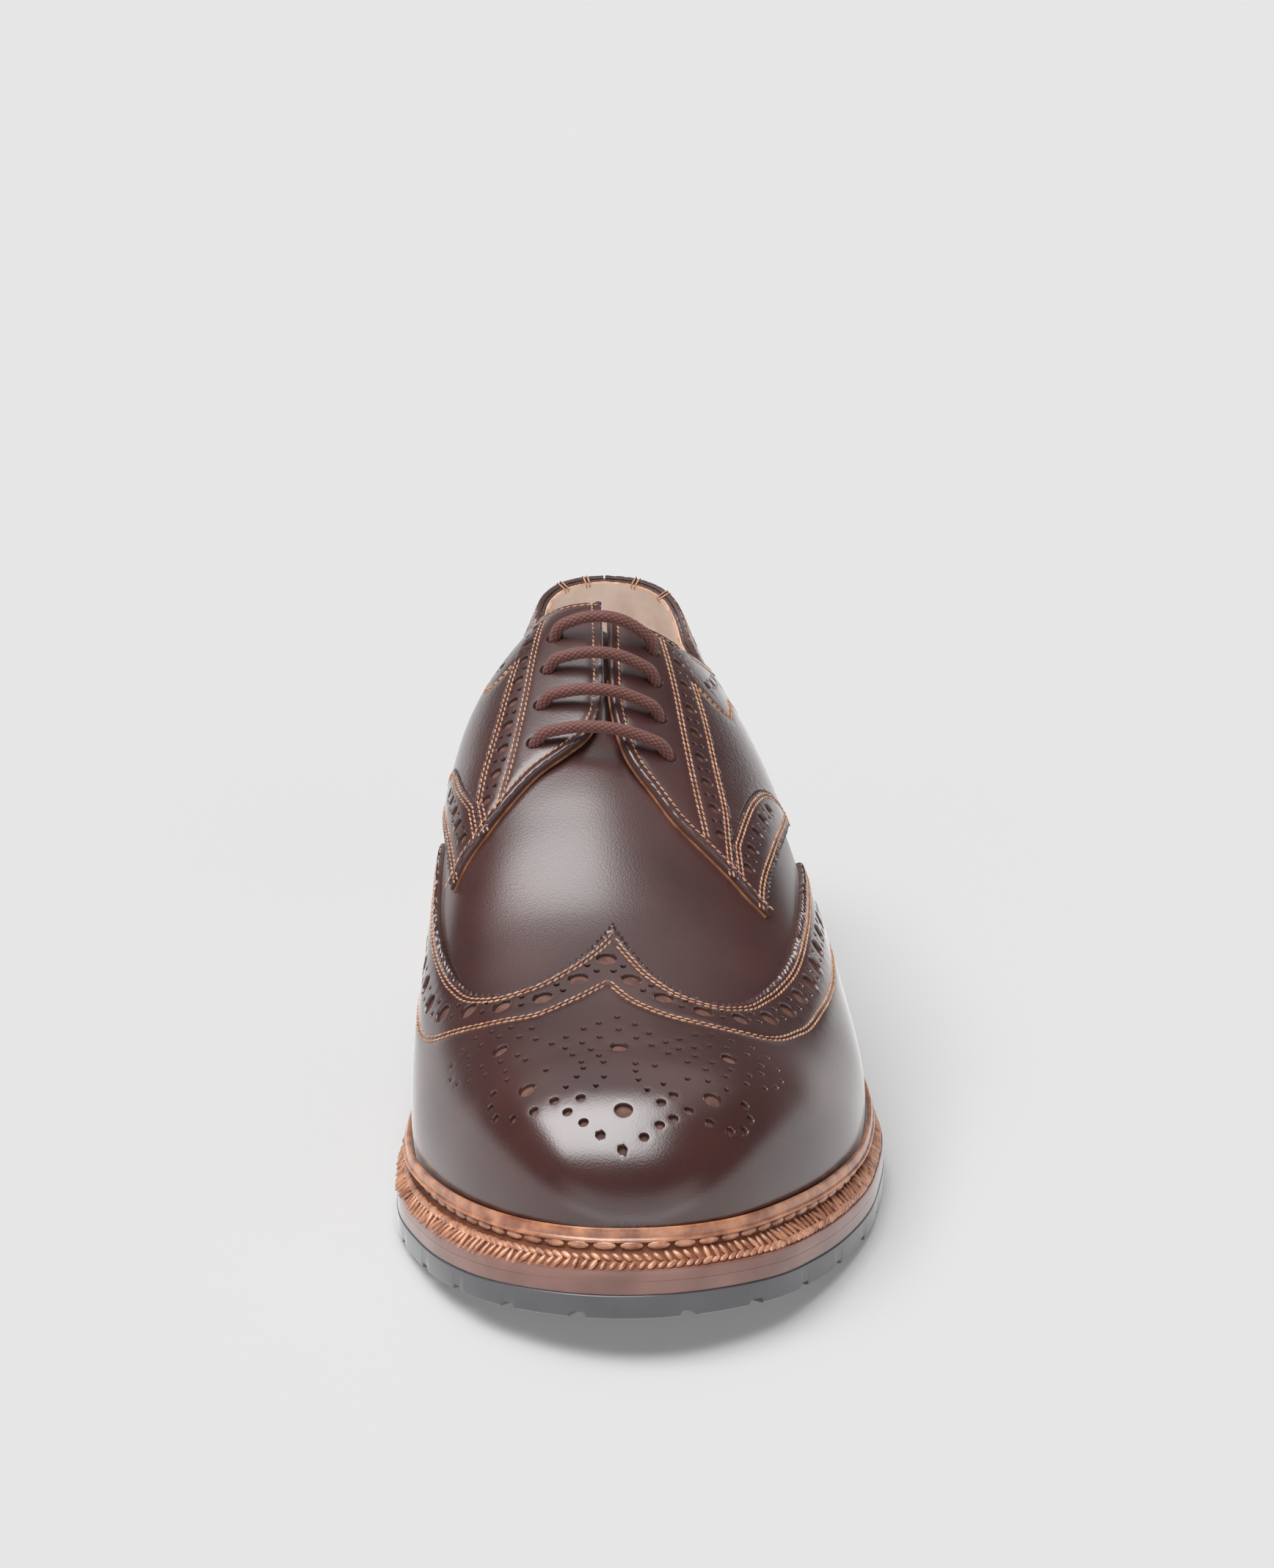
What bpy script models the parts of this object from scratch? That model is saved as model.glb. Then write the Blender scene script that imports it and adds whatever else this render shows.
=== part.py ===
"""A left full brogue derby shoe, empty and standing on its sole.

The upper is worked out from one surface, the last: a row of cross ribs from toe to waist and a fan
of ribs round the heel. Every leather piece is a flat pattern in the last's own coordinates, the
station along the foot and the share of the rib from ridge to sole, laid on that surface and given a
thickness. The sole's layers follow the sole's outline and the height of its underside.
Sizes are in millimetres until a mesh is made; x is across (lateral side positive), y runs from the
toe tip to the heel, z is up.
"""
import math

import bmesh
import bpy
import numpy as np
from mathutils.geometry import delaunay_2d_cdt

MM = 0.001

# Driving dimensions
LENGTH = 308.0
BALL_WIDTH = 114.0
INSTEP_HEIGHT = 114.0
HEEL_HEIGHT = 22.0
TOE_SPRING = 9.7
COLLAR_BACK_HEIGHT = 100.0

# The underside of the sole, along the length
SPRING_END = 90.0
BALL_END = 112.0
SEAT_START = 235.0

# Layers of the sole, as heights above its underside
RUBBER_TOP = 5.5
MIDSOLE_TOP = 8.5
WELT_TOP = 11.1
INSOLE_TOP = 14.3
SEAT = 11.8
GAP = 0.3

# The welt's raised rim
RIM_HEIGHT = 8.0
RIM_MIDDLE = 3.0
RIM_INNER = 2.2
RIM_OUTER = 4.0
BRAID_RISE = 4.2
WELT_TUCK = 2.1
INSOLE_TUCK = 3.4

# The upper's wall and the pieces laid on it, as distances out from the last
WALL = 2.0
LAID = 0.5
QUARTER_OUT = 1.5
WING_OUT = 1.7
COUNTER_OUT = 1.7
EAR_OUT = 1.9
FACING_OUT = 2.1
PANEL_GAP = 0.3

# Rounding of toe, nose and heel
TOE_MARGIN = 8.5
TOE_ROUND = 70.0
TOE_POWER = 2.25
NOSE_ROUND = 36.0
NOSE_POWER = 3.0
HEEL_MARGIN = 5.7
HEEL_POWER = 2.3
FAN_AT = 85.0
FAN_RADIUS = 38.0
HEEL_CROWN = 0.55
HEEL_WALL = 0.72
HEEL_SWELL = 2.5

# One row for each section. at: percent of the length. Widths are percent of the ball width, measured
# from the axis; ridge_z is percent of the instep height. crown and wall are how far each rib runs
# level from the ridge and upright from the sole; swell is millimetres; tilt is the ridge's slope.
SECTION_COLUMNS = ("at", "axis", "sole_in", "sole_out", "foot_in", "foot_out", "ridge_x", "ridge_z",
                   "crown_in", "crown_out", "wall_in", "wall_out", "swell_in", "swell_out", "tilt")
SECTIONS = np.array([
    (0, -3.5, 31.0, 33.0, 25.0, 27.0, -3.5, 33.0, 0.76, 0.76, 0.76, 0.76, 1.0, 1.0, 0.00),
    (4, -3.5, 36.8, 39.5, 30.5, 33.0, -3.5, 38.6, 0.76, 0.76, 0.76, 0.76, 1.3, 1.3, 0.00),
    (9, -3.3, 39.7, 41.8, 33.3, 35.3, -3.7, 43.0, 0.76, 0.76, 0.76, 0.76, 1.9, 1.9, 0.00),
    (15, -2.8, 42.3, 45.0, 36.3, 39.2, -4.0, 46.0, 0.69, 0.68, 0.70, 0.69, 2.7, 2.5, 0.02),
    (23, -1.8, 46.3, 49.6, 39.8, 43.4, -4.4, 50.4, 0.60, 0.54, 0.66, 0.58, 4.0, 3.5, 0.05),
    (31, -0.9, 46.5, 52.4, 39.6, 45.6, -4.4, 57.9, 0.64, 0.50, 0.72, 0.57, 6.0, 4.1, 0.08),
    (39, -0.3, 43.2, 51.0, 36.8, 44.6, -4.2, 70.6, 0.70, 0.46, 0.80, 0.58, 7.4, 4.0, 0.12),
    (49, 0.0, 39.5, 46.2, 33.4, 40.2, -3.8, 86.4, 0.72, 0.40, 0.82, 0.58, 8.6, 5.2, 0.16),
    (58, 0.0, 37.0, 41.8, 31.0, 35.6, -3.5, 98.7, 0.62, 0.36, 0.74, 0.58, 8.8, 5.4, 0.16),
    (68, 0.0, 34.8, 38.2, 28.8, 32.2, -3.0, 103.5, 0.42, 0.31, 0.55, 0.50, 6.2, 4.8, 0.10),
    (78, 0.0, 33.9, 35.6, 28.2, 29.8, -2.0, 104.5, 0.28, 0.27, 0.37, 0.38, 4.0, 4.0, 0.04),
    (85, 0.0, 34.0, 34.5, 28.3, 28.8, -0.4, 104.0, 0.23, 0.25, 0.30, 0.32, 3.2, 3.2, 0.00),
])
WIDTHS = ("axis", "sole_in", "sole_out", "foot_in", "foot_out", "ridge_x")

# Pattern lines: station from the toe in mm, and share of the rib from ridge to sole
WING_TOP_IN = ((93, 0.0), (84, 0.074), (79, 0.139), (75, 0.25), (75.5, 0.323), (79.5, 0.405),
               (89, 0.48), (98, 0.525), (119, 0.615), (138, 0.655), (155, 0.71), (172, 0.80),
               (184, 0.90), (190, 1.0))
WING_TOP_OUT = ((93, 0.0), (82.3, 0.061), (75.2, 0.114), (70.2, 0.19), (69.6, 0.25), (72.5, 0.312),
                (80.8, 0.38), (91, 0.436), (117, 0.543), (142, 0.632), (158, 0.70), (174, 0.80),
                (185, 0.90), (191, 1.0))
FACING_EDGE_IN = ((190, 0.012), (170, 0.012), (156, 0.016), (148, 0.035), (143, 0.07), (139, 0.13),
                  (135, 0.212), (129, 0.312), (124.3, 0.40))
FACING_EDGE_OUT = ((185, 0.012), (170, 0.010), (155, 0.014), (147, 0.032), (138.3, 0.07),
                   (130.7, 0.138), (124.6, 0.195), (119.5, 0.275), (115.5, 0.345))
EAR_TIP_IN = ((124.3, 0.40), (121.5, 0.475), (118.4, 0.53))
EAR_TIP_OUT = ((115.5, 0.345), (113.1, 0.38), (111.0, 0.434))
QUARTER_LOW_IN = ((118.4, 0.53), (133.6, 0.575), (153, 0.653), (170, 0.735), (184, 0.82),
                  (196, 0.92), (201, 1.0))
QUARTER_LOW_OUT = ((111.0, 0.434), (119, 0.45), (133.6, 0.506), (157, 0.617), (173, 0.705),
                   (187, 0.80), (198, 0.91), (203, 1.0))
SPUR_IN = ((124.3, 0.40), (130, 0.415), (135, 0.43))
SPUR_OUT = ((115.5, 0.345), (121, 0.347), (126.5, 0.35))
EAR_ARCH_IN = ((135, 0.43), (145, 0.495), (158, 0.56), (168, 0.625), (175, 0.69), (178, 0.772))
EAR_ARCH_OUT = ((126.5, 0.35), (138, 0.398), (148, 0.447), (158.6, 0.52), (167, 0.615), (171, 0.685))
FACING_BACK_IN = ((135, 0.43), (142, 0.395), (150, 0.366), (162, 0.337), (173, 0.314), (196.5, 0.262))
FACING_BACK_OUT = ((126.5, 0.35), (135.5, 0.339), (148, 0.33), (164, 0.325), (175.4, 0.31), (189, 0.295))
FACING_TOP_IN = ((190, 0.012), (191.5, 0.129), (194.5, 0.22), (196.5, 0.262))
FACING_TOP_OUT = ((185, 0.012), (184.6, 0.114), (187, 0.226), (189, 0.295))
COUNTER_TOP = ((231, 1.0), (236, 0.90), (244, 0.79), (256, 0.71), (275, 0.66), (300, 0.635))
COUNTER_BACK_SHARE = 0.63

# Height of the topline above the floor, by station, for each side
TOPLINE_IN = ((196.5, 111.0), (206, 105.0), (220, 97.5), (236, 92.5), (252, 91.0), (270, 92.5),
              (290, 96.5), (308, 99.3))
TOPLINE_OUT = ((189, 105.0), (200, 98.5), (215, 93.0), (232, 89.5), (250, 88.0), (270, 90.5),
               (290, 96.0), (308, 99.2))

# Throat, eyelets, tongue and laces
THROAT_SHARE = 0.075
THROAT_END = 148.0
EYELET_STATIONS = (143.0, 154.0, 165.0, 176.0)
EYELET_IN = (0.226, 0.210, 0.195, 0.183)
EYELET_OUT = (0.190, 0.176, 0.176, 0.183)
EYELET_RADIUS = 2.0
EYELET_SIDES = 8
TONGUE_SHARE = 0.27
TONGUE_END = 184.0
TONGUE_ROOT = 139.0
TONGUE_OUTER = -2.75
TONGUE_INNER = -4.55
LACE_RADIUS = 1.5
LACE_BOW = (1.6, 1.8, 2.2, 3.2)
LACE_POINTS = 7
LACE_END_SHARE = 0.93

# Heel and tread
BREAST_AT = 232.0
BREAST_CURVE = 4.0
LIFT_HEIGHT = 6.0
HEEL_TAPER = 1.6
NOTCH_WIDTH = 3.4
NOTCH_DEPTH = 1.4
NOTCH_REACH = 13.0
NOTCHES_PER_SIDE = 12
NOTCH_START = 12.0
NOTCH_END = 205.0

# Mesh density
LOOP_POINTS = 92
RIB_STEPS = 10
RIB_CROWDING = 0.25
STATION_STEP = 9.5
PLATE_STEP = 17.0
SHARE_SPAN = 58.0
GRID_CLEAR = 2.0

FAN_Y = LENGTH * FAN_AT / 100
BACK = FAN_Y + FAN_RADIUS * math.pi / 2
HEEL_REACH = {"sole": LENGTH - FAN_Y, "foot": LENGTH - FAN_Y - HEEL_MARGIN}
TIP = {"sole": 0.0, "foot": TOE_MARGIN}
SWELL_PEAK = 27 / 4


def through(rows, x):
    """Cubic curve through rows of (x, value), its slope at a row taken from the two rows beside it."""
    rows = np.asarray(rows, float)
    xs, ys = rows[:, 0], rows[:, 1]
    slope = np.gradient(ys, xs)
    k = np.clip(np.searchsorted(xs, x) - 1, 0, len(xs) - 2)
    gap = xs[k + 1] - xs[k]
    t = np.clip((x - xs[k]) / gap, 0, 1)
    start = (1 + 2 * t) * (1 - t) ** 2 * ys[k] + t * (1 - t) ** 2 * gap * slope[k]
    return start + t * t * (3 - 2 * t) * ys[k + 1] + t * t * (t - 1) * gap * slope[k + 1]


def section(name, y):
    """A column of the section table at y, in millimetres or as the plain share it holds."""
    rows = SECTIONS[:, [0, SECTION_COLUMNS.index(name)]] * (LENGTH / 100, 1)
    value = through(rows, np.minimum(y, FAN_Y))
    if name in WIDTHS:
        return value * BALL_WIDTH / 100
    if name == "ridge_z":
        return value * INSTEP_HEIGHT / 100
    return value


def ground(y):
    """Height of the sole's underside: toe spring, flat ball, rise through the waist, level heel seat."""
    spring = TOE_SPRING * np.clip(1 - y / SPRING_END, 0, None) ** 2
    s = np.clip((y - BALL_END) / (SEAT_START - BALL_END), 0, 1)
    return spring + HEEL_HEIGHT * s * s * (3 - 2 * s)


def rounded(y, start, length, power):
    """A quarter superellipse's rise from 0 at start to 1 at start + length; power 2 is a circle's."""
    t = np.clip((y - start) / length, 0, 1)
    return (1 - (1 - t) ** power) ** (1 / power)


def heel_radius(angle, across, back):
    """Radius of the heel's plan, a superellipse with half-axes across and back."""
    share = (np.cos(angle) / across) ** HEEL_POWER + (np.sin(angle) / back) ** HEEL_POWER
    return share ** (-1 / HEEL_POWER)


def plan(kind, side, station):
    """Plan of the sole's edge or of the upper's foot: the table's width, rounded at toe and heel."""
    y = np.minimum(station, FAN_Y)
    angle = np.clip((station - FAN_Y) / FAN_RADIUS, 0, math.pi / 2)
    width = section(kind + ("_out" if side > 0 else "_in"), y) * rounded(y, TIP[kind], TOE_ROUND, TOE_POWER)
    x = section("axis", y) + side * width
    middle = section("ridge_x", FAN_Y)
    reach = heel_radius(angle, np.abs(x - middle), HEEL_REACH[kind])
    in_fan = angle > 0
    x = np.where(in_fan, middle + side * reach * np.cos(angle), x)
    y = np.where(in_fan, FAN_Y + reach * np.sin(angle), y)
    return np.stack([x, y], -1)


def last(station, share):
    """Outer face of the upper's wall. station runs from the toe tip to the back seam; share is -1 at
    the medial foot of the wall, 0 at the ridge and 1 at the lateral foot. Each rib is a cubic arc
    from the ridge, level there but for its tilt, to the foot, upright there, plus a swell."""
    station, share = np.broadcast_arrays(np.asarray(station, float), np.asarray(share, float))
    y = np.minimum(station, FAN_Y)
    angle = np.clip((station - FAN_Y) / FAN_RADIUS, 0, math.pi / 2)
    turn = np.sin(angle) ** 2
    lateral = share > 0
    side = np.where(lateral, 1.0, -1.0)
    t = np.abs(share)

    def sided(name, at_back=None):
        value = np.where(lateral, section(name + "_out", y), section(name + "_in", y))
        return value if at_back is None else value * (1 - turn) + at_back * turn

    toe = rounded(y, TOE_MARGIN, TOE_ROUND, TOE_POWER)
    axis = section("axis", y)
    foot = axis + side * sided("foot") * toe
    ridge = axis + (section("ridge_x", y) - axis) * toe
    across = np.abs(foot - ridge)
    reach = np.where(angle > 0, heel_radius(angle, np.maximum(across, 1e-6), HEEL_REACH["foot"]), across)
    crown = sided("crown", HEEL_CROWN)
    wall = sided("wall", HEEL_WALL)
    swell = sided("swell", HEEL_SWELL) * toe
    seat = ground(y) + SEAT
    rise = (section("ridge_z", y) - seat) * rounded(y, TOE_MARGIN, NOSE_ROUND, NOSE_POWER)
    near = 3 * t * (1 - t) ** 2
    far = 3 * t * t * (1 - t)
    out = reach * (near * crown + far + t ** 3) + swell * SWELL_PEAK * t * t * (1 - t)
    tilt = section("tilt", y) * (1 - turn)
    z = seat + rise * ((1 - t) ** 3 + near + far * wall) - side * tilt * reach * crown * near
    return np.stack([ridge + side * out * np.cos(angle), y + out * np.sin(angle), z], -1)


def outward(station, share):
    """Unit normal of the last, turned level towards the foot of the wall and straight out at the toe tip."""
    station, share = np.broadcast_arrays(np.asarray(station, float), np.asarray(share, float))
    inside = np.clip(station, TOE_MARGIN + 0.05, BACK)
    low, high = np.clip(inside - 0.04, TOE_MARGIN, BACK), np.clip(inside + 0.04, TOE_MARGIN, BACK)
    left, right = np.clip(share - 1e-3, -1, 1), np.clip(share + 1e-3, -1, 1)
    normal = np.cross(last(inside, right) - last(inside, left), last(high, share) - last(low, share))
    t = np.clip((np.abs(share) - 0.8) / 0.2, 0, 1)
    normal[..., 2] *= 1 - t * t * (3 - 2 * t)
    normal[station <= TOE_MARGIN] = (0, -1, 0)
    normal[station >= BACK, 0] = 0
    return normal / np.linalg.norm(normal, axis=-1, keepdims=True)


def share_at_height(station, side, height):
    """The share of the rib at which the last reaches a height, found by halving."""
    low, high = np.zeros_like(station), np.ones_like(station)
    for _ in range(40):
        middle = (low + high) / 2
        above = last(station, side * middle)[..., 2] > height
        low, high = np.where(above, middle, low), np.where(above, high, middle)
    return (low + high) / 2


def resample(points, count):
    """count points at equal distances along a polyline, its ends among them."""
    step = np.linalg.norm(np.diff(points[:, :2], axis=0), axis=1)
    run = np.concatenate([[0], np.cumsum(step)])
    at = np.linspace(0, run[-1], count)
    return np.stack([np.interp(at, run, column) for column in points.T], -1)


def closed_loop(side_points):
    """A loop from the toe tip down the lateral side and back up the medial side."""
    half = LOOP_POINTS // 2 + 1
    lateral = resample(side_points(1), half)
    medial = resample(side_points(-1), half)
    return np.concatenate([lateral, medial[-2:0:-1]])


def grow(loop, distance):
    """The loop with each point moved out, square to the line through its two neighbours."""
    along = np.roll(loop[:, :2], -1, axis=0) - np.roll(loop[:, :2], 1, axis=0)
    out = np.stack([along[:, 1], -along[:, 0]], -1)
    out *= -np.sign(np.sum(out[0] * (loop[LOOP_POINTS // 2, :2] - loop[0, :2])))
    moved = loop.copy()
    moved[:, :2] += distance * out / np.linalg.norm(out, axis=1, keepdims=True)
    return moved


def stations(start):
    """Closely spaced stations at the round toe, then even ones to the back seam."""
    toe_end = start + TOE_ROUND
    return np.concatenate([start + TOE_ROUND * np.linspace(0, 1, 40) ** 2, np.linspace(toe_end, BACK, 120)[1:]])


def plan_loop(kind):
    """Loop of the sole's edge or of the upper's foot, in plan."""
    return closed_loop(lambda side: plan(kind, side, stations(TIP[kind])))


def level_loop(rise):
    """Loop round the last at a rise above the foot of its wall, from the ridge of the toe to the back seam."""
    near = np.linspace(TOE_MARGIN, TOE_MARGIN + NOSE_ROUND, 400)
    tall = last(near, 0.0)[:, 2] - ground(near) - SEAT
    start = np.interp(rise, tall, near)

    def side_points(side):
        at = stations(start)
        height = ground(np.minimum(at, FAN_Y)) + SEAT + rise
        share = share_at_height(at, side, height)
        share[0] = 0.0
        return last(at, side * share)

    return closed_loop(side_points)


SOLE_LOOP = plan_loop("sole")
FOOT_LOOP = plan_loop("foot")
CENTRE = (SOLE_LOOP.min(0) + SOLE_LOOP.max(0)) / 2


def new_object(name, points, faces, material):
    """A mesh object from points in millimetres, with doubled points welded and faces turned out."""
    shape = bmesh.new()
    places = (np.asarray(points) - (*CENTRE, 0)) * MM
    vertices = [shape.verts.new(place) for place in places]
    for face in faces:
        shape.faces.new([vertices[i] for i in face])
    bmesh.ops.remove_doubles(shape, verts=shape.verts, dist=1e-5)
    bmesh.ops.dissolve_degenerate(shape, edges=shape.edges, dist=1e-6)
    bmesh.ops.recalc_face_normals(shape, faces=shape.faces)
    mesh = bpy.data.meshes.new(name)
    shape.to_mesh(mesh)
    shape.free()
    mesh.shade_smooth()
    mesh.set_sharp_from_angle(angle=math.radians(40))
    mesh.materials.append(material)
    piece = bpy.data.objects.new(name, mesh)
    bpy.context.collection.objects.link(piece)
    return piece


def inside(points, loop):
    """Which points lie inside a closed outline, by counting crossings."""
    x, y = points[:, 0:1], points[:, 1:2]
    x0, y0 = loop[:, 0], loop[:, 1]
    x1, y1 = np.roll(x0, -1), np.roll(y0, -1)
    spans = (y0 > y) != (y1 > y)
    rise = np.where(y1 == y0, 1, y1 - y0)
    crossing = x0 + (y - y0) / rise * (x1 - x0)
    return (np.sum(spans & (x < crossing), axis=1) % 2) == 1


def cut_pattern(outline, grid, clear, holes=()):
    """Triangles over an outline less its holes, through the grid's points that lie well inside it."""
    loops = [np.asarray(loop, float) for loop in (outline, *holes)]
    rim = np.concatenate(loops)
    keep = inside(grid, loops[0])
    for hole in loops[1:]:
        keep &= ~inside(grid, hole)
    grid = grid[keep]
    distance = np.linalg.norm(grid[:, None] - rim[None], axis=2).min(1)
    points = np.concatenate([rim, grid[distance > clear]])
    edges = []
    start = 0
    for loop in loops:
        count = len(loop)
        edges += [(start + i, start + (i + 1) % count) for i in range(count)]
        start += count
    found = delaunay_2d_cdt([tuple(p) for p in points], edges, [], 0, 1e-6, False)
    points = np.array([tuple(p) for p in found[0]])
    triangles = np.array([tuple(face) for face in found[2]])
    centres = points[triangles].mean(1)
    keep = inside(centres, loops[0])
    for hole in loops[1:]:
        keep &= ~inside(centres, hole)
    return points, triangles[keep]


def thicken(lower, upper, triangles, joined):
    """Faces of a closed sheet between two layers of the same triangles. Edges whose two points are
    both joined get no side wall, because the sheet meets itself there."""
    count = len(lower)
    points = np.concatenate([lower, upper])
    faces = [tuple(t) for t in triangles]
    faces += [tuple(t[::-1] + count) for t in triangles]
    sides = {}
    for a, b, c in triangles:
        for edge in ((a, b), (b, c), (c, a)):
            sides[edge] = True
    for a, b in sides:
        if (b, a) not in sides and not (joined[a] and joined[b]):
            faces.append((b, a, a + count, b + count))
    return points, faces


def plate(name, loop, low, high, material):
    """A layer of the sole: a plan outline filled between two heights, each a function of x and y."""
    plan_points = loop[:, :2]
    across = np.arange(plan_points[:, 0].min(), plan_points[:, 0].max(), PLATE_STEP)
    along = np.arange(plan_points[:, 1].min(), plan_points[:, 1].max(), PLATE_STEP)
    grid = np.stack(np.meshgrid(across, along), -1).reshape(-1, 2)
    points, triangles = cut_pattern(plan_points, grid, PLATE_STEP * 0.55)
    lower = np.column_stack([points, low(points)])
    upper = np.column_stack([points, high(points)])
    return new_object(name, *thicken(lower, upper, triangles, np.zeros(len(points), bool)), material)


def above_ground(rise):
    """Height function of a sole layer that follows the underside."""
    return lambda points: ground(points[:, 1]) + rise


def on_pattern(rows, side):
    """A pattern line as points of the flat pattern, with the ribs' shares signed for their side."""
    rows = np.asarray(rows, float)
    return np.column_stack([rows[:, 0], side * rows[:, 1] * SHARE_SPAN])


def smooth(points, step=5.0):
    """A pattern line as a smooth curve through its points, with a point about every step."""
    run = np.concatenate([[0], np.cumsum(np.linalg.norm(np.diff(points, axis=0), axis=1))])
    at = np.linspace(0, run[-1], max(3, round(run[-1] / step) + 1))
    return np.column_stack([through(np.column_stack([run, column]), at) for column in points.T])


def chain(*lines):
    """One closed outline from lines that follow on from each other."""
    points = np.concatenate(lines)
    keep = np.linalg.norm(points - np.roll(points, 1, axis=0), axis=1) > 0.05
    return points[keep]


def shrink(outline, distance):
    """A pattern outline drawn in by a distance, for the gap to the next piece. Points on the toe tip,
    the back seam and the foot of the wall stay on them."""
    ahead = np.roll(outline, -1, axis=0) - outline
    behind = outline - np.roll(outline, 1, axis=0)
    ahead /= np.linalg.norm(ahead, axis=1, keepdims=True)
    behind /= np.linalg.norm(behind, axis=1, keepdims=True)
    square = np.column_stack([-(ahead + behind)[:, 1], (ahead + behind)[:, 0]])
    mitre = np.clip(np.sum(square * np.column_stack([-ahead[:, 1], ahead[:, 0]]), axis=1), 0.5, None)
    x, y = outline.T
    turn = np.sign(np.sum(x * np.roll(y, -1) - np.roll(x, -1) * y))
    moved = outline + turn * distance * square / mitre[:, None]
    fixed = np.abs(outline[:, 1]) >= SHARE_SPAN - 1e-6
    moved[fixed, 1] = outline[fixed, 1]
    return moved


TOE_STATIONS = TOE_MARGIN + np.array([0.0, 0.8, 2.4, 5.0, 9.0, 14.5, 21.5])
LAST_STATIONS = np.concatenate([TOE_STATIONS, np.arange(TOE_STATIONS[-1] + 8.5, BACK - 4.0, STATION_STEP), [BACK]])
RIB_STEP = np.linspace(-1, 1, 2 * RIB_STEPS + 1)
RIB_SHARES = RIB_STEP * (1 - RIB_CROWDING + RIB_CROWDING * np.abs(RIB_STEP))
PATTERN_GRID = np.stack(np.meshgrid(LAST_STATIONS, RIB_SHARES * SHARE_SPAN), -1).reshape(-1, 2)


def foot_line(start, end, side):
    """Pattern points along the foot of the wall, at the stations between start and end."""
    at = LAST_STATIONS[(LAST_STATIONS > min(start, end) + 2) & (LAST_STATIONS < max(start, end) - 2)]
    at = np.concatenate([[min(start, end)], at, [max(start, end)]])
    at = at if end > start else at[::-1]
    return np.column_stack([at, np.full(len(at), side * SHARE_SPAN)])


def topline(rows, side):
    """Pattern points along the collar's edge, whose height the rows give, ending at the back seam."""
    rows = (*rows, (BACK, COLLAR_BACK_HEIGHT))
    at = np.linspace(rows[0][0], BACK, 18)
    share = share_at_height(at, side, through(rows, at))
    return np.column_stack([at, side * share * SHARE_SPAN])


def leather(name, outline, inner, outer, material, holes=()):
    """A pattern piece laid on the last between two distances from it."""
    points, triangles = cut_pattern(outline, PATTERN_GRID, GRID_CLEAR, holes)
    station, share = points[:, 0], points[:, 1] / SHARE_SPAN
    base, out = last(station, share), outward(station, share)
    joined = (station <= TOE_MARGIN + 1e-4) | (station >= BACK - 1e-4)
    return new_object(name, *thicken(base + inner * out, base + outer * out, triangles, joined), material)


def eyelet_holes(side, radius):
    """Round holes on the last for one facing's lace, as pattern outlines."""
    holes = []
    turn = np.linspace(0, 2 * math.pi, EYELET_SIDES, endpoint=False)
    for at, share in zip(EYELET_STATIONS, EYELET_IN if side < 0 else EYELET_OUT):
        share = side * share
        per_station = np.linalg.norm(last(at + 0.5, share) - last(at - 0.5, share))
        per_share = np.linalg.norm(last(at, share + 0.01) - last(at, share - 0.01)) / 0.02
        around = np.column_stack([np.cos(turn) / per_station, np.sin(turn) / per_share * SHARE_SPAN])
        holes.append(np.array([at, share * SHARE_SPAN]) + radius * around)
    return holes


def material(name, colour, roughness):
    """A plain leather, rubber or cloth finish."""
    finish = bpy.data.materials.new(name)
    finish.use_nodes = True
    shader = finish.node_tree.nodes["Principled BSDF"]
    shader.inputs["Base Color"].default_value = (*colour, 1)
    shader.inputs["Roughness"].default_value = roughness
    shader.inputs["Metallic"].default_value = 0.0
    return finish


def clear_scene():
    for old in list(bpy.data.objects):
        bpy.data.objects.remove(old)


def build_upper(calf):
    """The hollow wall: open at the collar, down the throat and underneath."""
    tops = {-1: topline(TOPLINE_IN, -1), 1: topline(TOPLINE_OUT, 1)}
    facing_tops = {-1: smooth(on_pattern(FACING_TOP_IN, -1)), 1: smooth(on_pattern(FACING_TOP_OUT, 1))}
    slot = THROAT_SHARE * SHARE_SPAN
    seam = np.linspace(abs(tops[-1][-1, 1]), SHARE_SPAN, 6)
    collar = {}
    for side in (-1, 1):
        outer = facing_tops[side][np.abs(facing_tops[side][:, 1]) > slot + 1.0]
        collar[side] = np.concatenate([outer[:-1], tops[side]])
    top_of_slot = {-1: (FACING_TOP_IN[1][0] - 0.6, -slot), 1: (FACING_TOP_OUT[1][0], slot)}
    slot_sides = {}
    for side in (-1, 1):
        at = np.linspace(THROAT_END + 3, top_of_slot[side][0], 6)
        slot_sides[side] = np.column_stack([at, np.full(6, side * slot)])
    slot_end = np.array([(THROAT_END + 0.8, -slot * 0.7), (THROAT_END, 0), (THROAT_END + 0.8, slot * 0.7)])
    tip = np.column_stack([np.full(len(RIB_SHARES), TOE_MARGIN), RIB_SHARES * SHARE_SPAN])
    back = np.column_stack([np.full(len(seam), BACK), seam])
    outline = chain(
        foot_line(TOE_MARGIN, BACK, -1), (back * (1, -1))[::-1], collar[-1][::-1], slot_sides[-1][::-1],
        slot_end, slot_sides[1], collar[1], back, foot_line(BACK, TOE_MARGIN, 1), tip[::-1])
    holes = eyelet_holes(-1, EYELET_RADIUS) + eyelet_holes(1, EYELET_RADIUS)
    return leather("upper", outline, -WALL, 0.0, calf, holes)


def build_wing_cap(calf):
    """The toe cap with its two wings, whose top edge peaks on the ridge."""
    medial = smooth(on_pattern(WING_TOP_IN, -1))
    lateral = smooth(on_pattern(WING_TOP_OUT, 1))
    tip = np.column_stack([np.full(len(RIB_SHARES), TOE_MARGIN), RIB_SHARES * SHARE_SPAN])
    outline = chain(foot_line(TOE_MARGIN, medial[-1, 0], -1), medial[::-1], lateral,
                    foot_line(lateral[-1, 0], TOE_MARGIN, 1), tip[::-1])
    return leather("wing_cap", outline, LAID, WING_OUT, calf)


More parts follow.
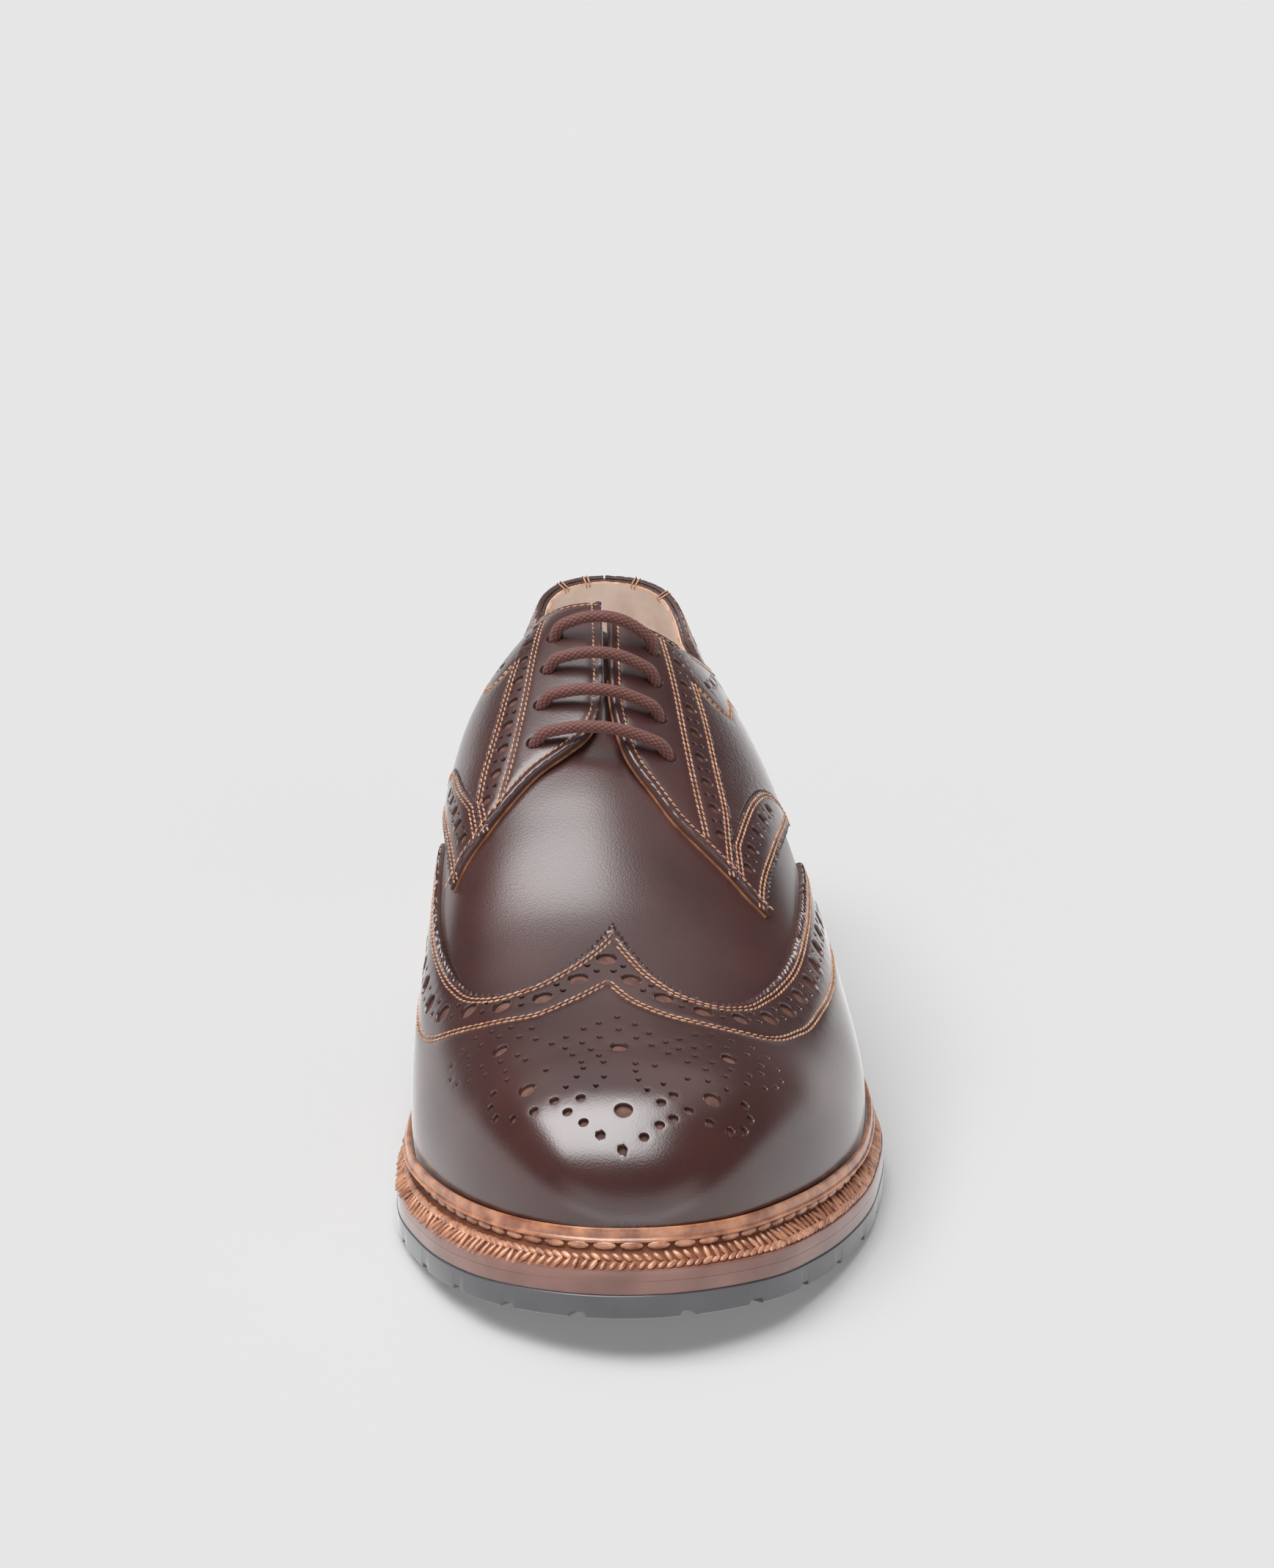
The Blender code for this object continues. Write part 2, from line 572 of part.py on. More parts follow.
def build_facing(name, side, rows, calf):
    """One eyelet facing: front edge, brogued back edge and top, with four lace holes."""
    edge, spur, back, top = (smooth(on_pattern(line, side)) for line in rows)
    outline = chain(edge, spur, back, top[::-1])
    holes = eyelet_holes(side, EYELET_RADIUS)
    return leather(name, shrink(outline, PANEL_GAP / 2), LAID, FACING_OUT, calf, holes)


def build_ear(name, side, rows, calf):
    """The rounded tab below a facing: its front edge, the quarter's low edge and its arch."""
    tip, low, arch, spur = (smooth(on_pattern(line, side)) for line in rows)
    outline = chain(tip, low[low[:, 0] < arch[-1, 0] - 2.0], arch[::-1], spur[::-1])
    return leather(name, shrink(outline, PANEL_GAP / 2), LAID, EAR_OUT, calf)


def build_quarter(name, side, rows, calf):
    """One side panel: facing and ear in front, topline above, heel counter behind."""
    back, arch, low, top = rows
    end = on_pattern(arch[-1:], side)[0]
    low_line = smooth(on_pattern(low, side))
    low_line = low_line[low_line[:, 0] > end[0] + 2.0]
    counter = smooth(on_pattern((*COUNTER_TOP, (BACK - 0.3, COUNTER_BACK_SHARE)), side))
    collar = topline(top, side)
    collar[-1, 0] = BACK - 0.3
    outline = chain(smooth(on_pattern(back, side))[::-1], smooth(on_pattern(arch, side)), low_line,
                    foot_line(low_line[-1, 0], counter[0, 0], side), counter, collar[::-1])
    return leather(name, shrink(outline, PANEL_GAP / 2), LAID, QUARTER_OUT, calf)


def build_counter(calf):
    """The heel counter, in one piece round the back."""
    medial = smooth(on_pattern((*COUNTER_TOP, (BACK, COUNTER_BACK_SHARE)), -1))
    lateral = medial * (1, -1)
    seam = np.linspace(COUNTER_BACK_SHARE * SHARE_SPAN, SHARE_SPAN, 4)
    back = np.column_stack([np.full(len(seam), BACK), seam])
    halves = []
    for side, edge in ((-1, medial), (1, lateral)):
        halves.append(chain(edge, back * (1, side), foot_line(BACK, edge[0, 0], side)))
    drawn_in = [shrink(half, PANEL_GAP / 2) for half in halves]
    sheets = []
    for outline in drawn_in:
        outline[outline[:, 0] > BACK - 1.0, 0] = BACK
        sheets.append(cut_pattern(outline, PATTERN_GRID, GRID_CLEAR))
    points = np.concatenate([sheet[0] for sheet in sheets])
    triangles = np.concatenate([sheets[0][1], sheets[1][1] + len(sheets[0][0])])
    station, share = points[:, 0], points[:, 1] / SHARE_SPAN
    base, out = last(station, share), outward(station, share)
    joined = station >= BACK - 1e-4
    sheet = thicken(base + LAID * out, base + COUNTER_OUT * out, triangles, joined)
    return new_object("heel_counter", *sheet, calf)


def build_tongue(calf):
    """The tongue, lying under the throat inside the wall."""
    wide = TONGUE_SHARE * SHARE_SPAN
    rows = ((TONGUE_ROOT, -wide), (TONGUE_END - 6, -wide), (TONGUE_END - 1.5, -wide * 0.75), (TONGUE_END, 0),
            (TONGUE_END - 1.5, wide * 0.75), (TONGUE_END - 6, wide), (TONGUE_ROOT, wide))
    points = np.array(rows)
    sides = [resample(points[:2], 6), points[2:5], resample(points[5:], 6), resample(points[[6, 0]], 6)]
    return leather("tongue", chain(*sides), TONGUE_INNER, TONGUE_OUTER, calf)


def build_welt(hide):
    """The welt: a ledge round the sole that rises inwards under its plaited stitch, and a rim standing
    against the upper."""
    def at(loop, distance, rise):
        moved = grow(loop, distance)
        return np.column_stack([moved[:, :2], ground(moved[:, 1]) + rise])

    def on_wall(loop, distance, lift):
        moved = grow(loop, distance)
        return np.column_stack([moved[:, :2], loop[:, 2] + lift])

    rim = level_loop(RIM_HEIGHT)
    middle = level_loop(RIM_MIDDLE)
    rings = [at(FOOT_LOOP, -WELT_TUCK, MIDSOLE_TOP + GAP), at(SOLE_LOOP, 0.0, MIDSOLE_TOP + GAP),
             at(SOLE_LOOP, -0.4, WELT_TOP), at(FOOT_LOOP, RIM_OUTER + 0.2, WELT_TOP + BRAID_RISE),
             on_wall(rim, RIM_OUTER - 0.5, -0.2), on_wall(rim, RIM_INNER, 0.0),
             on_wall(middle, RIM_INNER, 0.0), at(FOOT_LOOP, RIM_INNER, WELT_TOP), at(FOOT_LOOP, -WELT_TUCK, WELT_TOP)]
    count = LOOP_POINTS
    points = np.concatenate(rings)
    faces = []
    for r in range(len(rings)):
        n = (r + 1) % len(rings)
        faces += [(r * count + i, r * count + (i + 1) % count, n * count + (i + 1) % count, n * count + i)
                  for i in range(count)]
    return new_object("welt", points, faces, hide)


def heel_loop(distance):
    """Plan of the heel: the sole's edge behind the breast, drawn in by a distance, closed by the breast."""
    loop = grow(SOLE_LOOP, -distance)
    loop = loop[loop[:, 1] > BREAST_AT + 3]
    share = np.linspace(0, 1, 7)
    breast = loop[-1] + (loop[0] - loop[-1]) * share[:, None]
    breast[:, 1] = BREAST_AT + BREAST_CURVE * (1 - (2 * share - 1) ** 2)
    return np.concatenate([loop, breast])


def cut_notches(piece, places, low, material_slot):
    """Short grooves across the tread at the edge, one at each place with its inward direction."""
    shape = bmesh.new()
    for (x, y), (dx, dy), z in places:
        turn = math.atan2(dy, dx)
        made = bmesh.ops.create_cube(shape, size=1)["verts"]
        for vertex in made:
            narrow = 0.75 if vertex.co.z > 0 else 1.0
            along = (vertex.co.x + 0.5) * NOTCH_REACH - 2.0
            across = vertex.co.y * NOTCH_WIDTH * narrow
            up = NOTCH_DEPTH if vertex.co.z > 0 else -3.0
            place = (x + along * math.cos(turn) - across * math.sin(turn) - CENTRE[0],
                     y + along * math.sin(turn) + across * math.cos(turn) - CENTRE[1], z + low + up)
            vertex.co = [value * MM for value in place]
    mesh = bpy.data.meshes.new(piece.name + "_grooves")
    shape.to_mesh(mesh)
    shape.free()
    cutter = bpy.data.objects.new(mesh.name, mesh)
    bpy.context.collection.objects.link(cutter)
    cutter.hide_render = True
    cutter.display_type = "WIRE"
    mesh.materials.append(material_slot)
    cut = piece.modifiers.new("tread grooves", "BOOLEAN")
    cut.operation = "DIFFERENCE"
    cut.object = cutter


def notch_places(loop, start, end, count):
    """Evenly spaced places along both sides of an outline, with the direction into the sole."""
    places = []
    for side in (1, -1):
        half = loop[:LOOP_POINTS // 2 + 1] if side > 0 else np.roll(loop, -1, axis=0)[::-1][:LOOP_POINTS // 2 + 1]
        run = np.concatenate([[0], np.cumsum(np.linalg.norm(np.diff(half, axis=0), axis=1))])
        for at in np.linspace(start, end, count):
            point = np.array([np.interp(at, run, half[:, 0]), np.interp(at, run, half[:, 1])])
            ahead = np.array([np.interp(at + 2, run, half[:, 0]), np.interp(at + 2, run, half[:, 1])]) - point
            ahead /= np.linalg.norm(ahead)
            inward = np.array([-ahead[1], ahead[0]]) * side
            places.append((point, inward, float(ground(point[1]))))
    return places


def build_sole(rubber, hide, stack):
    """Outsole, midsole, heel stack and top lift."""
    outsole = plate("outsole", SOLE_LOOP, above_ground(0.0), above_ground(RUBBER_TOP), rubber)
    cut_notches(outsole, notch_places(SOLE_LOOP, NOTCH_START, NOTCH_END, NOTCHES_PER_SIDE), 0.0, rubber)
    plate("midsole", grow(SOLE_LOOP, -0.2), above_ground(RUBBER_TOP + GAP), above_ground(MIDSOLE_TOP), hide)
    level = np.ones_like
    plate("heel_stack", heel_loop(HEEL_TAPER * 0.5), lambda p: (LIFT_HEIGHT + GAP) * level(p[:, 0]),
          lambda p: (HEEL_HEIGHT - GAP) * level(p[:, 0]), stack)
    plate("heel_lift", heel_loop(HEEL_TAPER), lambda p: 0.0 * level(p[:, 0]),
          lambda p: LIFT_HEIGHT * level(p[:, 0]), rubber)


def build_insole(lining):
    """The insole, bedded inside the foot of the wall."""
    plate("insole", grow(FOOT_LOOP, -INSOLE_TUCK), above_ground(MIDSOLE_TOP + GAP),
          above_ground(INSOLE_TOP), lining)


def build_laces(cord):
    """Four bars of round cord, each from a medial eyelet over the ridge to the lateral one."""
    rest = FACING_OUT + GAP + LACE_RADIUS
    for number, at in enumerate(EYELET_STATIONS):
        way = np.linspace(-1, 1, LACE_POINTS) * LACE_END_SHARE
        medial, lateral = EYELET_IN[number], EYELET_OUT[number]
        share = (lateral - medial) / 2 + way * (lateral + medial) / 2
        lift = rest + LACE_BOW[number] * (1 - way ** 2)
        points = last(at, share) + outward(np.full(LACE_POINTS, at), share) * lift[:, None]
        curve = bpy.data.curves.new(f"lace_{number + 1}", "CURVE")
        curve.dimensions = "3D"
        curve.bevel_depth = LACE_RADIUS * MM
        curve.bevel_resolution = 2
        curve.use_fill_caps = True
        spline = curve.splines.new("POLY")
        spline.points.add(LACE_POINTS - 1)
        for point, place in zip(spline.points, (points - (*CENTRE, 0)) * MM):
            point.co = (*place, 1)
        curve.materials.append(cord)
        bpy.context.collection.objects.link(bpy.data.objects.new(curve.name, curve))


def main():
    clear_scene()
    calf = material("brown calf", (0.055, 0.022, 0.018), 0.25)
    hide = material("welt leather", (0.30, 0.11, 0.045), 0.5)
    edge = material("sole edge leather", (0.20, 0.11, 0.09), 0.4)
    stack = material("heel stack leather", (0.14, 0.07, 0.05), 0.4)
    rubber = material("dark rubber", (0.05, 0.05, 0.055), 0.6)
    lining = material("beige suede lining", (0.42, 0.28, 0.19), 0.9)
    cord = material("brown cord", (0.16, 0.06, 0.05), 0.8)
    build_sole(rubber, edge, stack)
    build_welt(hide)
    build_insole(lining)
    build_upper(calf)
    build_tongue(calf)
    build_wing_cap(calf)
    build_facing("facing_medial", -1, (FACING_EDGE_IN, SPUR_IN, FACING_BACK_IN, FACING_TOP_IN), calf)
    build_facing("facing_lateral", 1, (FACING_EDGE_OUT, SPUR_OUT, FACING_BACK_OUT, FACING_TOP_OUT), calf)
    build_ear("ear_medial", -1, (EAR_TIP_IN, QUARTER_LOW_IN, EAR_ARCH_IN, SPUR_IN), calf)
    build_ear("ear_lateral", 1, (EAR_TIP_OUT, QUARTER_LOW_OUT, EAR_ARCH_OUT, SPUR_OUT), calf)
    build_quarter("quarter_medial", -1, (FACING_BACK_IN, EAR_ARCH_IN, QUARTER_LOW_IN, TOPLINE_IN), calf)
    build_quarter("quarter_lateral", 1, (FACING_BACK_OUT, EAR_ARCH_OUT, QUARTER_LOW_OUT, TOPLINE_OUT), calf)
    build_counter(calf)
    build_laces(cord)


main()
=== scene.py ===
"""Looks of the left full brogue derby shoe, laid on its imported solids.

The leather pieces are cut again from the same surface, the last, at a fine mesh: real brogue holes,
saw-tooth edges, stitch channels and rounded cut edges. Sole, welt and heel are rings of points run
round the shoe. Sizes are in millimetres until a mesh is made; x is across (lateral side positive),
y runs from the toe tip to the heel, z is up.
"""
import math

import bpy
import numpy as np
from mathutils import Euler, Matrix
from mathutils.geometry import delaunay_2d_cdt
from mathutils.kdtree import KDTree


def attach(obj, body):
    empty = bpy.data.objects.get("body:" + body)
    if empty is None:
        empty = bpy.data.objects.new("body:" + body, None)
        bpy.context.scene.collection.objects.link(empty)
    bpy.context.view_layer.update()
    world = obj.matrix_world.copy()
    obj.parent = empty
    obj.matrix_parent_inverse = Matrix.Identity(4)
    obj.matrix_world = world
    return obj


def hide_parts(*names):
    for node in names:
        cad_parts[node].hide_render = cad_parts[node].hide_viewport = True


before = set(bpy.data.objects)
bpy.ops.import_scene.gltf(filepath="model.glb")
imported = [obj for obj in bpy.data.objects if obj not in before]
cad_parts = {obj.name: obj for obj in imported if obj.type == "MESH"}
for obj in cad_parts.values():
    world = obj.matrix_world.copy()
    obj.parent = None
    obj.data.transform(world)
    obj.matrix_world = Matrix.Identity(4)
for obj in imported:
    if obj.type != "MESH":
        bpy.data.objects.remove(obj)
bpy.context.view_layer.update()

MM = 0.001

# Driving dimensions
LENGTH = 308.0
BALL_WIDTH = 114.0
INSTEP_HEIGHT = 114.0
HEEL_HEIGHT = 22.0
TOE_SPRING = 9.7
COLLAR_BACK_HEIGHT = 100.0

# The underside of the sole, along the length
SPRING_END = 90.0
BALL_END = 112.0
SEAT_START = 235.0

# Layers of the sole, as heights above its underside
RUBBER_TOP = 5.5
MIDSOLE_TOP = 8.5
WELT_TOP = 11.1
SEAT = 11.8

# The welt's raised rim
RIM_HEIGHT = 8.0
RIM_MIDDLE = 3.0
RIM_INNER = 2.2
RIM_OUTER = 4.0
BRAID_RISE = 4.2
WELT_TUCK = 2.1

# The upper's wall and the pieces laid on it, as distances out from the last: the thickness of wall
# and lining, the under sides of pieces seated on the wall and of those that lap over others, and the
# outer faces
WALL = 2.0
LINING = 1.0
SEATED = 0.05
LAPPED = 0.55
QUARTER_OUT = 1.5
WING_OUT = 1.7
COUNTER_OUT = 1.7
EAR_OUT = 1.9
FACING_OUT = 2.1

# Rounding of toe, nose and heel
TOE_MARGIN = 8.5
TOE_ROUND = 70.0
TOE_POWER = 2.25
NOSE_ROUND = 36.0
NOSE_POWER = 3.0
HEEL_MARGIN = 5.7
HEEL_POWER = 2.3
FAN_AT = 85.0
FAN_RADIUS = 38.0
HEEL_CROWN = 0.55
HEEL_WALL = 0.72
HEEL_SWELL = 2.5

# One row for each section. at: percent of the length. Widths are percent of the ball width, measured
# from the axis; ridge_z is percent of the instep height. crown and wall are how far each rib runs
# level from the ridge and upright from the sole; swell is millimetres; tilt is the ridge's slope.
SECTION_COLUMNS = ("at", "axis", "sole_in", "sole_out", "foot_in", "foot_out", "ridge_x", "ridge_z",
                   "crown_in", "crown_out", "wall_in", "wall_out", "swell_in", "swell_out", "tilt")
SECTIONS = np.array([
    (0, -3.5, 31.0, 33.0, 25.0, 27.0, -3.5, 33.0, 0.76, 0.76, 0.76, 0.76, 1.0, 1.0, 0.00),
    (4, -3.5, 36.8, 39.5, 30.5, 33.0, -3.5, 38.6, 0.76, 0.76, 0.76, 0.76, 1.3, 1.3, 0.00),
    (9, -3.3, 39.7, 41.8, 33.3, 35.3, -3.7, 43.0, 0.76, 0.76, 0.76, 0.76, 1.9, 1.9, 0.00),
    (15, -2.8, 42.3, 45.0, 36.3, 39.2, -4.0, 46.0, 0.69, 0.68, 0.70, 0.69, 2.7, 2.5, 0.02),
    (23, -1.8, 46.3, 49.6, 39.8, 43.4, -4.4, 50.4, 0.60, 0.54, 0.66, 0.58, 4.0, 3.5, 0.05),
    (31, -0.9, 46.5, 52.4, 39.6, 45.6, -4.4, 57.9, 0.64, 0.50, 0.72, 0.57, 6.0, 4.1, 0.08),
    (39, -0.3, 43.2, 51.0, 36.8, 44.6, -4.2, 70.6, 0.70, 0.46, 0.80, 0.58, 7.4, 4.0, 0.12),
    (49, 0.0, 39.5, 46.2, 33.4, 40.2, -3.8, 86.4, 0.72, 0.40, 0.82, 0.58, 8.6, 5.2, 0.16),
    (58, 0.0, 37.0, 41.8, 31.0, 35.6, -3.5, 98.7, 0.62, 0.36, 0.74, 0.58, 8.8, 5.4, 0.16),
    (68, 0.0, 34.8, 38.2, 28.8, 32.2, -3.0, 103.5, 0.42, 0.31, 0.55, 0.50, 6.2, 4.8, 0.10),
    (78, 0.0, 33.9, 35.6, 28.2, 29.8, -2.0, 104.5, 0.28, 0.27, 0.37, 0.38, 4.0, 4.0, 0.04),
    (85, 0.0, 34.0, 34.5, 28.3, 28.8, -0.4, 104.0, 0.23, 0.25, 0.30, 0.32, 3.2, 3.2, 0.00),
])
WIDTHS = ("axis", "sole_in", "sole_out", "foot_in", "foot_out", "ridge_x")

# Pattern lines: station from the toe in mm, and share of the rib from ridge to sole
WING_TOP_IN = ((93, 0.0), (84, 0.074), (79, 0.139), (75, 0.25), (75.5, 0.323), (79.5, 0.405),
               (89, 0.48), (98, 0.525), (119, 0.615), (138, 0.655), (155, 0.71), (172, 0.80),
               (184, 0.90), (190, 1.0))
WING_TOP_OUT = ((93, 0.0), (82.3, 0.061), (75.2, 0.114), (70.2, 0.19), (69.6, 0.25), (72.5, 0.312),
                (80.8, 0.38), (91, 0.436), (117, 0.543), (142, 0.632), (158, 0.70), (174, 0.80),
                (185, 0.90), (191, 1.0))
FACING_EDGE_IN = ((190, 0.012), (170, 0.012), (156, 0.016), (148, 0.035), (143, 0.07), (139, 0.13),
                  (135, 0.212), (129, 0.312), (124.3, 0.40))
FACING_EDGE_OUT = ((185, 0.012), (170, 0.010), (155, 0.014), (147, 0.032), (138.3, 0.07),
                   (130.7, 0.138), (124.6, 0.195), (119.5, 0.275), (115.5, 0.345))
EAR_TIP_IN = ((124.3, 0.40), (121.5, 0.475), (118.4, 0.53))
EAR_TIP_OUT = ((115.5, 0.345), (113.1, 0.38), (111.0, 0.434))
QUARTER_LOW_IN = ((118.4, 0.53), (133.6, 0.575), (153, 0.653), (170, 0.735), (184, 0.82),
                  (196, 0.92), (201, 1.0))
QUARTER_LOW_OUT = ((111.0, 0.434), (119, 0.45), (133.6, 0.506), (157, 0.617), (173, 0.705),
                   (187, 0.80), (198, 0.91), (203, 1.0))
SPUR_IN = ((124.3, 0.40), (130, 0.415), (135, 0.43))
SPUR_OUT = ((115.5, 0.345), (121, 0.347), (126.5, 0.35))
EAR_ARCH_IN = ((135, 0.43), (145, 0.495), (158, 0.56), (168, 0.625), (175, 0.69), (178, 0.772))
EAR_ARCH_OUT = ((126.5, 0.35), (138, 0.398), (148, 0.447), (158.6, 0.52), (167, 0.615), (171, 0.685))
FACING_BACK_IN = ((135, 0.43), (142, 0.415), (150, 0.388), (162, 0.358), (173, 0.335), (185, 0.306),
                  (196.5, 0.262))
FACING_BACK_OUT = ((126.5, 0.35), (135.5, 0.357), (148, 0.352), (164, 0.346), (175.4, 0.331), (189, 0.295))
FACING_TOP_IN = ((190, 0.012), (191.5, 0.129), (194.5, 0.22), (196.5, 0.262))
FACING_TOP_OUT = ((185, 0.012), (184.6, 0.114), (187, 0.226), (189, 0.295))
COUNTER_TOP = ((231, 1.0), (236, 0.90), (244, 0.79), (256, 0.71), (275, 0.66), (300, 0.635))
COUNTER_BACK_SHARE = 0.63

# Height of the topline above the floor, by station, for each side
TOPLINE_IN = ((196.5, 111.0), (206, 105.0), (220, 97.5), (236, 92.5), (252, 91.0), (270, 92.5),
              (290, 96.5), (308, 99.3))
TOPLINE_OUT = ((189, 105.0), (200, 98.5), (215, 93.0), (232, 89.5), (250, 88.0), (270, 90.5),
               (290, 96.0), (308, 99.2))

# Throat and eyelets
THROAT_SHARE = 0.075
THROAT_END = 148.0
THROAT_ROUND = 4
EYELET_STATIONS = (143.0, 154.0, 165.0, 176.0)
EYELET_IN = (0.226, 0.210, 0.195, 0.183)
EYELET_OUT = (0.190, 0.176, 0.176, 0.183)
EYELET_RADIUS = 2.0

# The laces: radius, the bow of each bar over the ridge, its distance off the facing, the share of its way
# that lies free and the points on it, the heights of its feet in the eyelets, how far out they stand, and
# the direction that counts as up across the cord
LACE_RADIUS = 1.5
LACE_BOW = (1.6, 1.8, 2.2, 3.2)
LACE_CLEAR = 0.1
LACE_REACH = 0.84
LACE_BAR_POINTS = 9
LACE_FOOT = (-2.0, 0.2)
LACE_FOOT_OUT = 0.4
LACE_UPRIGHT = (0.0, 0.35, 1.0)

# The braided cord: points round it, distance between its rings, strands each way, their turn in radians
# a millimetre, and the radius between the strands and their rise, as shares of the cord's radius
CORD_SIDES = 40
CORD_STEP = 0.16
STRANDS = 4
STRAND_TURN = 1.9
STRAND_ROOT = 0.88
STRAND_RISE = 0.15

# Heel and tread
BREAST_AT = 232.0
BREAST_CURVE = 4.0
LIFT_HEIGHT = 6.0
HEEL_TAPER = 1.6
NOTCH_WIDTH = 3.4
NOTCH_DEPTH = 1.4
NOTCH_REACH = 13.0
NOTCHES_PER_SIDE = 12
NOTCH_START = 12.0
NOTCH_END = 205.0
NOTCH_SLOPE = 0.5
HEEL_CLEAR = 3
HEEL_LAYERS = 4
JOINT_GAP = 0.15
JOINT_DEPTH = 0.14
JOINT_ROUND = 0.2
TAPER_TOP = 0.5
TAPER_GAIN = 0.3
LIFT_PROFILE = ((2.1, 0.0), (1.7, 0.35), (1.6, 0.9), (1.5, LIFT_HEIGHT - 0.3), (1.7, LIFT_HEIGHT))

# Width of the flat pattern from ridge to sole
SHARE_SPAN = 58.0

# Mesh density: points of lines and loops, and the steps of the loose points on pattern and caps
LOOP_POINTS = 1000
TOE_STATIONS = 120
SIDE_STATIONS = 400
FOOT_POINTS = 130
TOPLINE_POINTS = 160
TOE_POINTS = 60
THROAT_POINTS = 30
UPPER_SEAM_POINTS = 20
COUNTER_SEAM_POINTS = 16
HEEL_POINTS = 300
BREAST_POINTS = 80
TOE_ROW_COUNT = 39
TOE_ROW_SPAN = 26
GRID_STEP = 1.3
RIB_SQUEEZE = 0.85
COARSE_FROM = 36.5
COARSE_STEPS = (2.2, 1.9)
CAP_STEP = 5.0
CAP_CLEAR = 2.0

# Extra points that carry the round edges, holes and stitch channels of leather, as distances: sides of a
# hole by the radius it is over, rings round a hole, lines along an edge and lines along a channel
HOLE_SIDES = ((1.0, 18), (0.7, 14), (0.0, 10))
HOLE_RINGS = (0.22, 0.55)
EDGE_LINES = (-0.3, 0.3, -0.7, 0.7)
CHANNEL_LINES = (-1.3, -0.65, 0.0, 0.65, 1.3)
CHANNEL_STEP = 0.8
POINT_STEP = 0.16
RING_CLEAR = 0.2
GRID_CLEAR = 0.6
RIM_CLEAR = 0.1
RIM_PARTS = 4
SAME_POINT = 0.02
MERGE_WITHIN = 1e-7
END_CLEAR = 0.01

# Steps over which slopes on the last are taken, and the shares over which its normal turns level
SLOPE_STATION = 0.05
SLOPE_SHARE = 0.002
SLOPE_FROM_TOE = 0.3
SLOPE_FROM_BACK = 0.1
NORMAL_STATION = 0.04
NORMAL_SHARE = 1e-3
LEVEL_FROM = 0.8
LEVEL_SPAN = 0.2

# Halvings in the search for a height, and points tested at once against an outline
HALVINGS = 40
TESTED_AT_ONCE = 2000

# Leather, its holes and teeth, stitches and the folded edge
EDGE_ROUND = 0.5
HOLE_ROUND = 0.35
HOLE_FLOOR = 0.04
TOOTH_PITCH = 2.0
TOOTH_DEPTH = 1.0
CHANNEL_DEPTH = 0.28
CHANNEL_WIDTH = 0.9
HOLE_DEPTH = 1.0
STITCH_PITCH = 1.75
STITCH_LEAN = 0.2
STITCH_TRIM = 0.8
STITCH_HALF = (0.80, 0.27, 0.23)
ROW_GAP = 1.1
ROW_SINK = 0.10
EDGE_ROW = 2.2
FOLD_WIDTH = 1.6
FOLD_RISE = 0.4

# Distances of stitch rows, and of rows of holes, from the edges they follow
WING_TOP_INSET = 2.6
FACING_BACK_INSET = 1.4
FACING_TOP_INSET = 1.7
EAR_ARCH_INSET = 1.5
EAR_LOW_INSET = 2.4
QUARTER_LOW_INSET = 2.2
COLLAR_INSET = 2.0
COUNTER_INSETS = (2.6, 11.0)
COUNTER_HOLE_INSET = 6.8
BAND_DROP = 12.5
BAND_JOIN = 6
BAND_HOLE_INSET = 7.0
BAND_HOLE_CLEAR = 6.6

# Brogue holes: pitch, radius of the large holes and of the pinholes, and the pinholes' distance from the row
WING_BROGUE = (9.3, 2.15, 0.6, 1.5)
FACING_BROGUE = (8.3, 1.45, 0.5, 1.1)
EAR_BROGUE = (7.2, 1.5, 0.5, 1.2)
QUARTER_BROGUE = (8.6, 1.45, 0.5, 1.2)
COUNTER_BROGUE = (8.6, 1.6, 0.5, 1.3)
QUARTER_TRIM = 2.0
COUNTER_TRIM = 5.0

# Room left at the peak of the wing, at the facing's band, at the ear's arch and at the back seam
PEAK_CLEAR = 0.25
BAND_CLEAR = 0.5
ARCH_CLEAR = 1.0
SEAM_GAP = 0.3
SEAM_CLEAR = 2.0

# The raw edge of the facing's lining: how far back it runs, its lines inside the folded edge, and the
# line and height of each of its rings
RAW_END = 162
RAW_LINES = (-0.35, 0.3, 1.8)
RAW_RINGS = ((0, 0.04), (0, 0.5), (1, 0.53), (2, 0.5))

# The plait: each row's place across the ledge, lean and shift along it in stitches; the stitches' lean
# along the welt and height, each with its spread, the spread of their size, and the ledge's usual width
PLAIT_PITCH = 2.05
PLAIT_HALF = (1.35, 0.62, 0.52)
PLAIT_ROWS = ((0.26, 1.0, 0.0), (0.76, -1.0, 0.5))
PLAIT_LEAN = (0.9, 0.15)
PLAIT_RISE = (0.12, 0.08)
PLAIT_SPREAD = 0.08
LEDGE_WIDTH = 4.4
SCALLOP_PITCH = 5.4
SCALLOP_HALF = (2.45, 0.45, 0.85)

# The dip of the empty vamp at the throat
DIP_START = 127.0
DIP_LENGTH = 23.0
DIP_DEPTH = 2.5
DIP_POWER = 1.5
DIP_LIMIT = 1.5
DIP_SIDE = 0.6
DIP_HALF_WIDTH = 19.0

# Tacks over the collar's edge: side and station of each pair of stitches, half the distance between the
# two, how far they lie off the leather, below the edge and above it, how far ahead of the pair its line
# starts, and the half sizes of each pass
TACKS = ((-1, 305), (-1, 315), (1, 310), (1, 296))
TACK_APART = 0.7
TACK_OFF = 0.05
TACK_DOWN = 0.7
TACK_OVER = 0.12
TACK_LEAD = 1.1
TACK_HALF = ((0.8, 0.26, 0.22), (1.8, 0.26, 0.22), (0.8, 0.26, 0.22))

